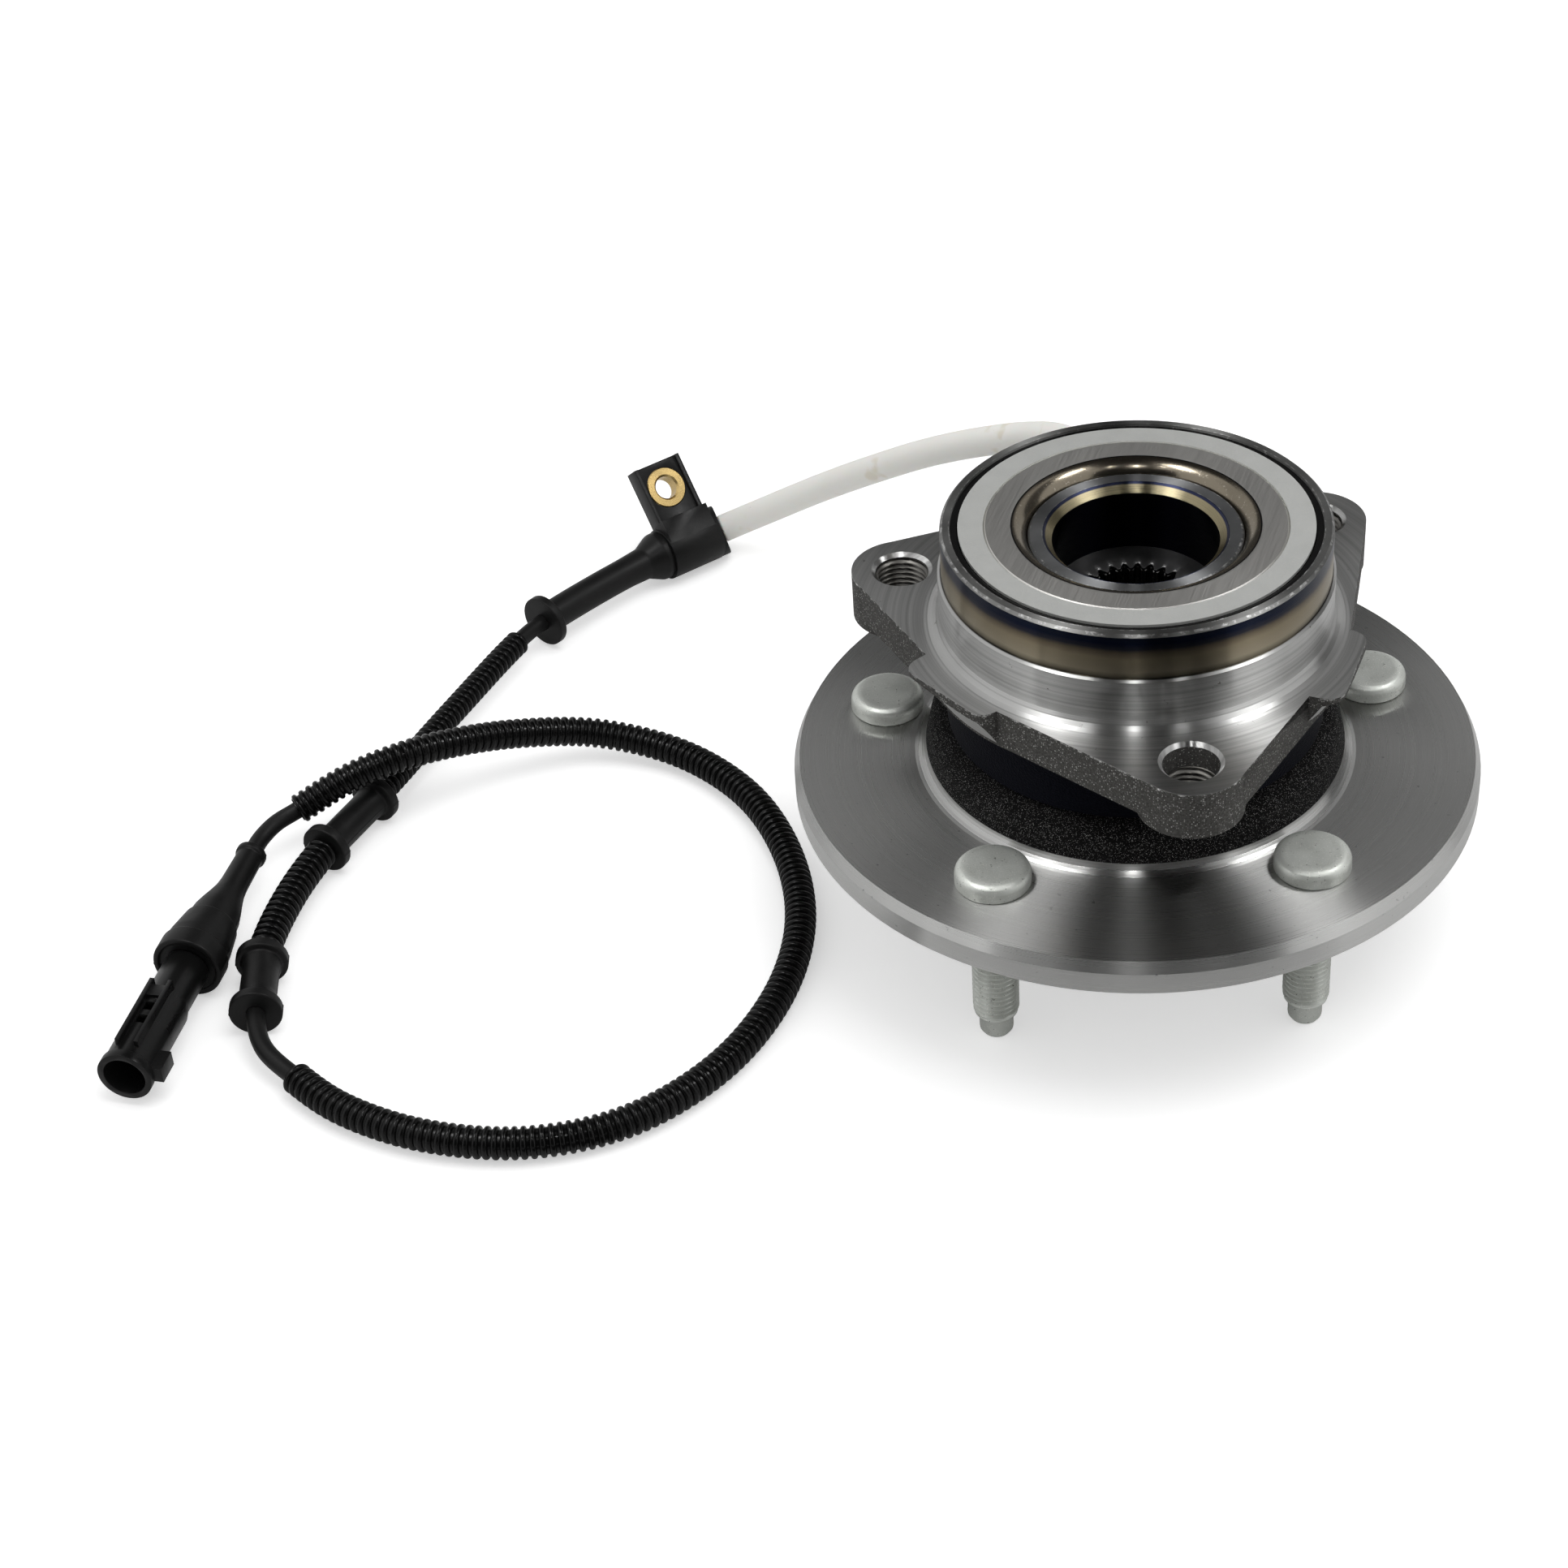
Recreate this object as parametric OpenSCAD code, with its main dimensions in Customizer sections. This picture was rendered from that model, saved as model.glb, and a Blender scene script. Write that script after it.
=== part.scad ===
// Wheel hub bearing: a five-stud driven hub on two rows of tapered rollers, with its speed sensor and lead
// The hub axis is Z. The unit stands on its five wheel studs, so z = 0 is the plane of the stud tips.
// Seen from the front, -Y, one mounting ear points at the viewer and the sensor sits at the back.

/* [Wheel flange] */
// Outside diameter of the wheel flange
flange_d = 179; // [165:1:216]
// Thickness of the wheel flange at its rim
flange_t = 10; // [8:0.5:13]
// Chamfer height on the bearing side of the rim
rim_chamfer_h = 3; // [1:0.5:4]
// Chamfer width on the bearing side of the rim
rim_chamfer_w = 1.5; // [0.5:0.5:3]
// Diameter of the pilot that centres the wheel
pilot_d = 87; // [70:0.5:90]
// Height of the pilot below the wheel face
pilot_h = 16; // [10:1:22]
// Diameter of the axle nut pocket inside the pilot
nut_pocket_d = 62; // [54:1:64]

/* [Wheel studs] */
// Number of wheel studs
stud_count = 5; // [4:1:6]
// Diameter of the circle through the studs
stud_pcd = 135; // [130:1:145]
// Thread diameter of a stud
stud_d = 12; // [10:0.5:14]
// Length of a stud below the wheel face
stud_reach = 40; // [34:1:48]
// Diameter of the serrated collar in the flange
stud_collar_d = 13; // [12.5:0.1:15.5]
// Diameter of a stud head
stud_head_d = 19.4; // [16:0.1:20]
// Height of a stud head
stud_head_t = 5.9; // [4:0.1:8]
// Diameter of the plain tip of a stud
stud_tip_d = 8.8; // [7:0.2:9.6]
// Length of the plain tip of a stud
stud_tip_h = 6; // [3:0.5:8]
// Angle of the first stud about the hub axis
stud_turn = 15.2; // [0:0.1:72]

/* [Spindle] */
// Diameter of the spindle that carries the cones
spindle_d = 54; // [45:0.5:56]
// Length that the cone stands above the end of the spindle
spindle_drop = 2.7; // [1:0.1:4]
// Diameter of the joint seat in the inboard end of the spindle
joint_seat_d = 42; // [36:0.5:44]
// Depth of the joint seat from the end of the spindle
joint_seat_h = 18.8; // [10:0.1:24]
// Number of spline teeth in the hub
spline_teeth = 27; // [20:1:34]
// Pitch diameter of the spline
spline_pitch_d = 28.6; // [24:0.1:32]
// Height of a spline tooth
spline_tooth_h = 1.6; // [1:0.1:2]
// Length of the spline
spline_len = 40; // [30:1:44]

/* [Tapered rollers] */
// Number of rollers in each row
roller_count = 20; // [16:1:20]
// Diameter of a roller at its big end
roller_d = 9.4; // [7.6:0.1:9.8]
// Length of a roller
roller_len = 16; // [13:0.5:16.5]
// Angle between a roller and the hub axis
roller_angle = 13; // [10:0.5:16]
// Thickness of the cone under the big end of the rollers
cone_wall = 8.4; // [7:0.1:10]
// Height of the cone's rib above its raceway
rib_h = 2.8; // [2:0.1:3.4]
// Width of the cone's rib
rib_w = 6; // [5:0.1:8]
// Radius of the rounded bore edge of a cone
cone_edge_r = 4.7; // [3:0.1:5]
// Thickness of the cage
cage_t = 1.2; // [0.8:0.1:1.6]
// Running play between a roller and each raceway
play = 0.12; // [0.08:0.01:0.2]

/* [Housing] */
// Length of the housing
housing_len = 56; // [55:0.5:68]
// Diameter of the knuckle seat, above the ears
seat_d = 100; // [99:0.5:106]
// Diameter of the heat tinted spigot, above the seat
spigot_d = 98.2; // [97:0.1:98.8]
// Outside diameter of the barrel, below the ears
barrel_d = 97.2; // [96.6:0.1:99]
// Length of the heat tinted spigot
spigot_h = 12.6; // [8:0.1:16]
// Height of the knuckle seat between the spigot and the ears
seat_h = 14.6; // [10:0.1:18]
// Thickness of the ear flange between the ears
plate_t = 10.5; // [8:0.5:14]
// Extra thickness of the ears at the bolts
ear_boss_t = 2.7; // [0:0.1:5]
// Diameter of the circle through the ear bolts
ear_pcd = 127.5; // [126:0.5:136]
// Radius of the rounded end of an ear
ear_end_r = 13.2; // [11:0.1:16]
// Thread diameter of the ear bolts
ear_bolt_d = 14; // [12:0.5:16]
// Number of ears
ear_count = 3; // [3:1:3]
// How far the pads between the ears stand out past the knuckle seat
pad_reach = 8.8; // [6:0.1:11]
// Width of the pads between the ears
pad_w = 30; // [16:0.5:34]

/* [Seals] */
// Depth of the seal bores in the housing
seal_bore_h = 5.4; // [5:0.1:6]
// Gap between a turning slinger and the standing rubber
seal_gap = 0.3; // [0.2:0.05:0.5]
// Width of the black rubber ring at the face of a seal
seal_rubber_w = 1.7; // [1.2:0.1:2.4]
// Thickness of the seal and slinger steel
seal_steel_t = 0.8; // [0.6:0.1:1]

/* [Sensor] */
// Diameter of the sensor barrel
sensor_d = 14; // [11:0.1:17]
// Diameter of the sensor's pole tip
sensor_tip_d = 7; // [6:0.1:8]
// Air gap between the pole tip and the tone ring
sensor_gap = 0.8; // [0.4:0.1:1.2]
// Number of teeth on the tone ring
tone_teeth = 48; // [36:1:52]
// Distance of the sensor seat from the hub axis
sensor_seat_r = 63.5; // [61:0.5:66]
// Thickness of the sensor's flange
sensor_flange_t = 4; // [3:0.5:5]
// Distance of the sensor screw from the sensor
sensor_screw_x = 15; // [14.5:0.5:18]
// Thread diameter of the sensor screw
sensor_screw_d = 6; // [5:1:6]

/* [Lead] */
// Diameter of the cable
cable_d = 5; // [4:0.1:6]
// Diameter of the pale heat sleeve
sleeve_d = 8.8; // [8:0.1:10]
// Diameter of the upper corrugated tube
tube1_d = 7.6; // [7.4:0.1:9]
// Diameter of the middle corrugated tube
tube2_d = 9; // [8:0.1:10]
// Diameter of the long corrugated tube
tube3_d = 8.6; // [8:0.1:9]
// Diameter of the collars on the grommets
collar_d = 14.2; // [12:0.1:14.4]

/* [Bracket] */
// Outside diameter of the bracket clip
clip_d = 16.2; // [15.2:0.1:16.4]
// Length of the bracket clip along the lead
clip_len = 18; // [14:0.5:20]
// Width of the tab
tab_w = 16.4; // [15.6:0.1:18]
// Thickness of the tab
tab_t = 5; // [3:0.1:6]
// Distance from the lead to the end of the tab
tab_reach = 27; // [25.5:0.5:32]
// Lean of the tab above the floor
tab_lean = 49; // [30:1:70]
// Diameter of the hole in the tab's bush
bush_hole_d = 7; // [6:0.1:8]
// Wall of the tab's bush
bush_wall = 2.9; // [1.5:0.1:3.2]

/* [Connector] */
// Diameter of the rubber flange where the boot meets the shell
boot_d = 19.2; // [18.6:0.1:19.4]
// Length of the boot
boot_len = 49; // [46:1:60]
// Diameter of the shell
shell_d = 13.8; // [13:0.1:15]
// Length of the shell
shell_len = 43; // [38:1:50]
// Diameter of the socket in the shell
socket_d = 11.4; // [10:0.1:11.8]
// Depth of the socket in the shell
socket_depth = 22; // [18:0.5:24]

/* [Hidden] */
$fn = 96;
eps = 0.01;

// Heights on the hub axis
wheel_face_z = stud_reach;
flange_z = wheel_face_z + flange_t;
boss_h = 11.5;
seat_land_h = 1;
shoulder_z = flange_z + boss_h + seat_land_h;
housing_z0 = shoulder_z;
housing_z1 = housing_z0 + housing_len;
middle_z = (housing_z0 + housing_z1) / 2;
spindle_z1 = housing_z1 - spindle_drop;
spigot_z = housing_z1 - spigot_h;
plate_z1 = spigot_z - seat_h;
plate_z0 = plate_z1 - plate_t;

// One row of rollers: s is the depth from the cone's back face, r the distance from the axis
spindle_r = spindle_d / 2;
roller_r1 = roller_d / 2;
raceway_r1 = spindle_r + cone_wall;
rib_r = raceway_r1 + rib_h;
end_play = 0.15;
big_end_r = raceway_r1 + roller_r1 * cos(roller_angle);
big_end_s = rib_w + end_play + roller_r1 * sin(roller_angle);
apex_len = big_end_r / sin(roller_angle);
apex_s = big_end_s + big_end_r / tan(roller_angle);
taper = atan(roller_r1 / apex_len);
roller_r2 = roller_r1 * (apex_len - roller_len) / apex_len;
function cup_r(s) = (apex_s - s) * tan(roller_angle + taper) + play / cos(roller_angle + taper);
function cone_r(s) = (apex_s - s) * tan(roller_angle - taper) - play / cos(roller_angle - taper);
function along(t, q) = [big_end_r - t * sin(roller_angle) + q * cos(roller_angle),
                        big_end_s + t * cos(roller_angle) + q * sin(roller_angle)];
raceway_s1 = big_end_s + (roller_len + 0.6) * cos(roller_angle) + roller_r2 * sin(roller_angle);
cone_len = raceway_s1 + 1.1;
cone_small_rib_s = along(roller_len + end_play, -roller_r2)[1] + 0.25;
cage_q = 1;
cage_big_t = -1;
cage_small_t = roller_len + 1.6;

// Housing radii: the seal bores and the land between the rows follow the raceways
seal_step = 1.1;
seal_bore_r = cup_r(seal_bore_h) + seal_step;
land_r = cup_r(raceway_s1) - 0.4;
spigot_r = spigot_d / 2;
seat_r = seat_d / 2;
barrel_r = barrel_d / 2;
ear_r = ear_pcd / 2;
ear_hole_r = ear_bolt_d / 2;
web_r = seat_r + 4.4;
pad_r = seat_r + pad_reach;
pad_turn = 62;
pad_shift = -8;

// Seals, in row coordinates
slinger_len = seal_bore_h - 1.4;
case_s0 = 1.4;
case_floor_t = 0.6;
case_floor_s = seal_bore_h - case_floor_t;
case_wall_r = seal_bore_r - seal_steel_t;
lip_gap = 0.2;

// Hub radii
boss_r = barrel_r + 5.9;
nut_seat_gap = 8;
spline_tip_r = (spline_pitch_d - spline_tooth_h) / 2;
spline_root_r = (spline_pitch_d + spline_tooth_h) / 2;
joint_seat_z = spindle_z1 - joint_seat_h;
lead_in_h = 2;
spline_z1 = joint_seat_z - lead_in_h;
spline_z0 = spline_z1 - spline_len;

// The sensor's pole tip stops clear of the turning cages, and looks at the tone ring between the cones
cage_clear = 0.5;
tip_r0 = along(cage_small_t, cage_q + cage_t)[0] + cage_clear;
tone_r = tip_r0 - sensor_gap;
tone_w = 2 * (middle_z - housing_z0 - cone_len);
barrel_r0 = land_r + 2.6;
sensor_r = sensor_d / 2;
sensor_wall = 3.5;
sensor_screw_depth = 13;
screw_lug_r = sensor_screw_d / 2 + 3.8;
o_ring_d = 2.2;
groove_w = 2.6;
groove_at = 7;
sensor_out_r = sensor_seat_r + sensor_flange_t;

// Lead route, chosen by hand, from the sensor to the connector
sleeve_route = [[-6, 76.2, 90.5], [-6.8, 86, 90.5], [-9.5, 97.5, 88.5], [-17, 112, 80.5],
                [-29, 126.5, 67.5], [-43, 142, 52], [-58, 156, 37], [-74, 168.5, 23.5],
                [-91, 177, 12.8], [-106, 180, 8.3]];
bracket_a = [-106, 180, 8.3];
bracket_b = [-130, 164.5, 8.3];
grommet1_end = [-162, 136, 8.3];
tube1_route = [[-169, 127, 8.2], [-188, 94, 7.7], [-208, 57.5, 7.2]];
grommet2_a = [-208, 57.5, 7.2];
grommet2_b = [-222, 34, 7.2];
tube2_route = [[-222, 34, 7.2], [-230.5, 13, 7.2], [-235.5, -10, 7.2]];
grommet3_a = [-235.5, -10, 7.2];
grommet3_b = [-235.5, -33, 7.2];
cable2_route = [[-232.6, -45, 6]];
tube3_route = [[-224, -55.5, 4.6], [-210.5, -69, 4.4], [-189, -81, 4.4], [-163, -86.2, 4.4],
               [-138, -81.2, 4.4], [-115, -64.5, 4.4], [-98.5, -39, 4.4], [-91, -10, 4.4],
               [-93, 20.5, 4.4], [-103.5, 49, 4.4], [-122, 69.5, 5], [-145, 77.5, 8.2],
               [-166, 73, 13.6], [-184, 64.5, 18.6], [-200, 56.5, 20.8], [-214.5, 51.5, 18.4],
               [-229.5, 46.5, 12.4]];
cable3_route = [[-235.5, 43, 11], [-239.5, 37.8, 10]];
boot_a = [-241.5, 32, 9.7];
boot_turn = 254;
cable_route = concat(sleeve_route, [bracket_b, grommet1_end], tube1_route, [grommet2_b],
                     [for (i = [1 : len(tube2_route) - 1]) tube2_route[i]], [grommet3_b], cable2_route,
                     tube3_route, cable3_route, [boot_a]);

// The sensor points along the lead's first point, and the ears are spaced from there
sensor_turn = atan2(sleeve_route[0][1], sleeve_route[0][0]);
ear_turn = sensor_turn - 180 / ear_count;

// Fits on the lead
tube_bore_r = cable_d / 2 + 0.6;
grommet_bore_r = cable_d / 2 + 0.1;
clip_gap = 4.2;
clip_mid = clip_gap + clip_len / 2;
core_r = 6.2;
bush_x = 18.6;
bush_r = bush_hole_d / 2 + bush_wall;
tab_z0 = -1;
shell_mouth = boot_len + shell_len;

// Small vector tools
function unit(v) = v / norm(v);
function tangent(p, i) = i == 0 ? unit(p[1] - p[0])
    : i == len(p) - 1 ? unit(p[i] - p[i - 1])
    : unit(unit(p[i + 1] - p[i]) + unit(p[i] - p[i - 1]));
// A ring of points round p[i], square to the way the route runs there
function ring(p, i, r, sides) =
    let (t = tangent(p, i), side = unit(cross([0, 0, 1], t)), up = cross(t, side))
    [for (k = [0 : sides - 1]) p[i] + r * (cos(360 * k / sides) * side + sin(360 * k / sides) * up)];

// A closed round bar swept along a route
module bar(p, r, sides = 8) {
    n = len(p);
    points = [for (i = [0 : n - 1]) each ring(p, i, r, sides)];
    walls = [for (i = [0 : n - 2], k = [0 : sides - 1])
        each let (a = i * sides + k, b = i * sides + (k + 1) % sides)
            [[a, b, b + sides], [a, b + sides, a + sides]]];
    first = [for (k = [0 : sides - 1]) sides - 1 - k];
    last = [for (k = [0 : sides - 1]) (n - 1) * sides + k];
    polyhedron(points, concat([first, last], walls), convexity = 6);
}

// A round tube swept along a route, open at both ends
module pipe(p, r, bore_r, sides = 8) {
    n = len(p);
    m = n * sides;
    points = concat([for (i = [0 : n - 1]) each ring(p, i, r, sides)],
                    [for (i = [0 : n - 1]) each ring(p, i, bore_r, sides)]);
    skin = [for (i = [0 : n - 2], k = [0 : sides - 1])
        each let (a = i * sides + k, b = i * sides + (k + 1) % sides)
            [[a, b, b + sides], [a, b + sides, a + sides],
             [m + a, m + b + sides, m + b], [m + a, m + a + sides, m + b + sides]]];
    caps = [for (k = [0 : sides - 1])
        each let (b = (k + 1) % sides, e = (n - 1) * sides)
            [[k, m + b, b], [k, m + k, m + b],
             [e + k, e + b, m + e + b], [e + k, m + e + b, m + e + k]]];
    polyhedron(points, concat(skin, caps), convexity = 6);
}

// Puts a child that is built along +Z on the straight from a towards b, level with the floor
module level_from(a, turn) {
    translate(a) rotate([0, 90, turn]) children();
}
function heading(a, b) = atan2(b[1] - a[1], b[0] - a[0]);

// A ring of turned stock: the outline is drawn in [radius, height]
module turned(outline) {
    rotate_extrude() polygon(outline);
}

// Outline points of a hollow fillet, from the plane at height z in to a wall of radius r that rises from it
function foot(r, z, size) = concat(
    [[r + size, z - 0.05]],
    [for (a = [18 : 18 : 90]) [r + size * (1 - sin(a)), z + size * (1 - cos(a))]]);

// Places a child, built along +Z from the hub axis outwards, on the sensor's axis
module at_sensor() {
    translate([0, 0, middle_z]) rotate([0, 90, sensor_turn]) children();
}

// Repeats a child around the hub axis
module around(count, turn = 0) {
    for (i = [0 : count - 1]) rotate(turn + i * 360 / count) children();
}

// Puts what is built in row coordinates, s up from the back face, at the outboard or the inboard end
module row_at(inboard) {
    if (inboard) {
        translate([0, 0, housing_z1]) mirror([0, 0, 1]) children();
    } else {
        translate([0, 0, housing_z0]) children();
    }
}

// Internal spline: the space that a mating shaft fills
module spline_space(h) {
    pitch = 360 / spline_teeth;
    root_half = pitch * 0.16;
    tip_half = pitch * 0.34;
    linear_extrude(h) union() {
        circle(spline_tip_r);
        intersection() {
            circle(spline_root_r);
            union() for (i = [0 : spline_teeth - 1]) rotate(i * pitch) polygon([
                [0, 0],
                (spline_tip_r - 0.4) * [cos(tip_half), -sin(tip_half)],
                (spline_root_r + 0.4) * [cos(root_half), -sin(root_half)],
                (spline_root_r + 0.4) * [cos(root_half), sin(root_half)],
                (spline_tip_r - 0.4) * [cos(tip_half), sin(tip_half)]]);
        }
    }
}

// Hub: flange, boss, pilot and spindle in one forging
module hub() {
    pilot_r = pilot_d / 2;
    pocket_r = nut_pocket_d / 2;
    rim_r = flange_d / 2;
    pilot_z = wheel_face_z - pilot_h;
    nut_seat_z = spline_z0 - nut_seat_gap;
    relief_r = spline_root_r + 1.4;
    seat_land_r = rib_r - 1.2;
    face_chamfer = 1.2;
    boss_foot = 3;
    boss_draft = 0.8;
    boss_round = 5;
    boss_z = shoulder_z - seat_land_h;
    boss_round_r = boss_r - boss_draft - boss_round;
    end_chamfer = 0.5;
    pilot_taper_h = 4;
    pilot_taper_w = 2.5;
    seat_r0 = joint_seat_d / 2;
    seat_chamfer = 0.35 * (spindle_r - seat_r0);
    nut_cone = 6;
    color("silver") difference() {
        union() {
            turned(concat(
                [[0, wheel_face_z], [pilot_r, wheel_face_z], [rim_r - face_chamfer, wheel_face_z],
                 [rim_r, wheel_face_z + face_chamfer], [rim_r, flange_z - rim_chamfer_h],
                 [rim_r - rim_chamfer_w, flange_z]],
                foot(boss_r, flange_z, boss_foot),
                [for (a = [0 : 22.5 : 90])
                    [boss_round_r + boss_round * cos(a), boss_z - boss_round * (1 - sin(a))]],
                [[seat_land_r, boss_z], [seat_land_r, shoulder_z],
                 [spindle_r, shoulder_z], [spindle_r, spindle_z1 - end_chamfer],
                 [spindle_r - end_chamfer, spindle_z1], [0, spindle_z1]]));
            // Wheel pilot with its lead-in taper
            turned([[0, wheel_face_z + eps], [pilot_r, wheel_face_z + eps],
                    [pilot_r, pilot_z + pilot_taper_h], [pilot_r - pilot_taper_w, pilot_z], [0, pilot_z]]);
        }
        // Joint seat with its gold coloured chamfer, and the taper that leads into the spline
        turned([[0, spindle_z1 + 1], [seat_r0 + seat_chamfer + 1, spindle_z1 + 1],
                [seat_r0 + seat_chamfer, spindle_z1], [seat_r0, spindle_z1 - seat_chamfer],
                [seat_r0, joint_seat_z], [spline_root_r + 0.3, spline_z1], [0, spline_z1]]);
        translate([0, 0, spline_z0]) spline_space(spline_len + eps);
        // Relief below the spline, and the axle nut pocket
        turned([[0, spline_z0 + eps], [relief_r, spline_z0 + eps], [relief_r, nut_seat_z], [0, nut_seat_z]]);
        turned([[0, nut_seat_z + eps], [pocket_r - nut_cone, nut_seat_z + eps],
                [pocket_r, nut_seat_z - nut_cone], [pocket_r, pilot_z - 1], [0, pilot_z - 1]]);
        around(stud_count, stud_turn) translate([stud_pcd / 2, 0, wheel_face_z - 1])
            cylinder(h = flange_t + 2, d = stud_collar_d);
    }
}

// One wheel stud, head on the bearing side of the flange
module wheel_stud() {
    head_r = stud_head_d / 2;
    thread_r = stud_d / 2;
    tip_r = stud_tip_d / 2;
    collar_r = stud_collar_d / 2;
    tip_chamfer = 1.4;
    edge = 0.5;
    head_z = flange_z + stud_head_t;
    turned([
        [0, 0], [tip_r - tip_chamfer, 0], [tip_r, tip_chamfer], [tip_r, stud_tip_h],
        [thread_r, stud_tip_h + thread_r - tip_r], [thread_r, stud_reach - 1.2], [collar_r, stud_reach],
        [collar_r, flange_z], [head_r - edge, flange_z], [head_r, flange_z + edge],
        [head_r, head_z - 1.7], [head_r - 0.4, head_z - 0.9], [head_r - 1.5, head_z - 0.25],
        [head_r - 3, head_z], [0, head_z]]);
}

module wheel_studs() {
    color("gainsboro") around(stud_count, stud_turn) translate([stud_pcd / 2, 0, 0]) wheel_stud();
}

// Cone, or inner ring: the big rib at its back face, a small rib at the other end
module cone(inboard) {
    small_rib_h = 0.9;
    edge = 0.6;
    small_r = cone_r(cone_small_rib_s) + small_rib_h;
    rib_foot = along(-end_play, -roller_r1 - play);
    rib_top_s = rib_foot[1] + (rib_r - rib_foot[0]) * tan(roller_angle);
    raceway_s = rib_foot[1] + 0.4;
    row_at(inboard) rotate_extrude() difference() {
        polygon([
            [spindle_r, 0], [rib_r - edge, 0], [rib_r, edge], [rib_r, rib_top_s],
            rib_foot, [cone_r(raceway_s), raceway_s],
            [cone_r(cone_small_rib_s), cone_small_rib_s], [small_r, cone_small_rib_s],
            [small_r - 0.3, cone_len], [spindle_r + edge, cone_len], [spindle_r, cone_len - edge]]);
        difference() {
            translate([spindle_r - 1, -1]) square([cone_edge_r + 1, cone_edge_r + 1]);
            translate([spindle_r + cone_edge_r, cone_edge_r]) circle(cone_edge_r);
        }
    }
}

module outboard_cone() {
    color("lightslategray") cone(false);
}

module inboard_cone() {
    color("lightslategray") cone(true);
}

// Tone ring on the spindle between the cones, slotted for the sensor
module tone_ring() {
    slot_w = PI * tone_r / tone_teeth;
    slot_h = 2.2;
    color("dimgray") translate([0, 0, middle_z - tone_w / 2]) linear_extrude(tone_w) difference() {
        circle(tone_r);
        circle(spindle_r);
        around(tone_teeth) translate([tone_r - slot_h, -slot_w / 2]) square([slot_h + 1, slot_w]);
    }
}

// Slinger: the turning half of a cassette seal, pressed on the cone's rib
module slinger(inboard) {
    leg_r = rib_r + seal_steel_t;
    outer_r = seal_bore_r - seal_rubber_w - seal_gap;
    row_at(inboard) turned([
        [rib_r, 0], [outer_r, 0], [outer_r, seal_steel_t], [leg_r, seal_steel_t],
        [leg_r, slinger_len], [rib_r, slinger_len]]);
}

module outboard_slinger() {
    color("lightgray") slinger(false);
}

module inboard_slinger() {
    color("lightgray") slinger(true);
}

// Seal case: the standing half of a cassette seal, pressed in the housing
module seal_case(inboard) {
    inner_r = rib_r + 2.4;
    row_at(inboard) turned([
        [seal_bore_r, case_s0], [seal_bore_r, seal_bore_h], [inner_r, seal_bore_h],
        [inner_r, case_floor_s], [case_wall_r, case_floor_s], [case_wall_r, case_s0]]);
}

module outboard_seal_case() {
    color("slategray") seal_case(false);
}

module inboard_seal_case() {
    color("slategray") seal_case(true);
}

// Rubber of a seal, bonded to its case, with a lip that reaches for the slinger
module seal_lip(inboard) {
    face_s = 0.7;
    inner_r = seal_bore_r - seal_rubber_w;
    lip_r = rib_r + seal_steel_t + lip_gap;
    lip_t = 0.6;
    skin_t = 0.8;
    root_r = rib_r + 2.6;
    lip_s = case_floor_s - 2.1;
    row_at(inboard) turned([
        [inner_r, face_s], [seal_bore_r, face_s], [seal_bore_r, case_s0], [case_wall_r, case_s0],
        [case_wall_r, case_floor_s], [root_r, case_floor_s], [lip_r, lip_s + lip_t], [lip_r, lip_s],
        [lip_r + 0.5, lip_s], [root_r + 0.4, case_floor_s - skin_t], [inner_r - 0.4, case_floor_s - skin_t],
        [inner_r - 0.4, 2.4], [inner_r, 2]]);
}

module outboard_seal_lip() {
    color("black") seal_lip(false);
}

module inboard_seal_lip() {
    color("black") seal_lip(true);
}

// One roller in row coordinates, larger by the given clearance when it cuts its cage pocket
module roller(clear = 0) {
    foot = along(-clear, 0);
    translate([foot[0], 0, foot[1]]) rotate([0, -roller_angle, 0])
        cylinder(h = roller_len + 2 * clear, r1 = roller_r1 + clear, r2 = roller_r2 + clear, $fn = 48);
}

module rollers(inboard) {
    row_at(inboard) around(roller_count) roller();
}

module outboard_rollers() {
    color("silver") rollers(false);
}

module inboard_rollers() {
    color("silver") rollers(true);
}

// Cage: a thin tapered shell with a pocket for each roller
module cage(inboard) {
    pocket_clear = 0.15;
    outer_q = cage_q + cage_t;
    row_at(inboard) difference() {
        turned([along(cage_big_t, cage_q), along(cage_big_t, outer_q),
                along(cage_small_t, outer_q), along(cage_small_t, cage_q)]);
        around(roller_count) roller(pocket_clear);
    }
}

module outboard_cage() {
    color("darkgoldenrod") cage(false);
}

module inboard_cage() {
    color("darkgoldenrod") cage(true);
}

// Outline of one ear's web, which runs from the base circle to the round end a hair inside both tangents
module ear_web_outline() {
    inset = 0.1;
    base = web_r - inset;
    end = ear_end_r - inset;
    lean = acos((base - end) / ear_r);
    polygon([
        [0, 0], base * [cos(lean), -sin(lean)], [ear_r, 0] + end * [cos(lean), -sin(lean)],
        [ear_r, 0] + end * [cos(lean), sin(lean)], base * [cos(lean), sin(lean)]]);
}

// Rectangle with rounded corners at the end away from the axis, from x0 to x1 and y0 to y1
module nose_outline(x0, x1, y0, y1, corner_r) {
    translate([x0, y0]) square([x1 - x0 - corner_r, y1 - y0]);
    translate([x0, y0 + corner_r]) square([x1 - x0, y1 - y0 - 2 * corner_r]);
    for (y = [y0 + corner_r, y1 - corner_r]) translate([x1 - corner_r, y]) circle(corner_r);
}

module plate_outline() {
    circle(web_r);
    around(ear_count, ear_turn) ear_web_outline();
}

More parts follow.
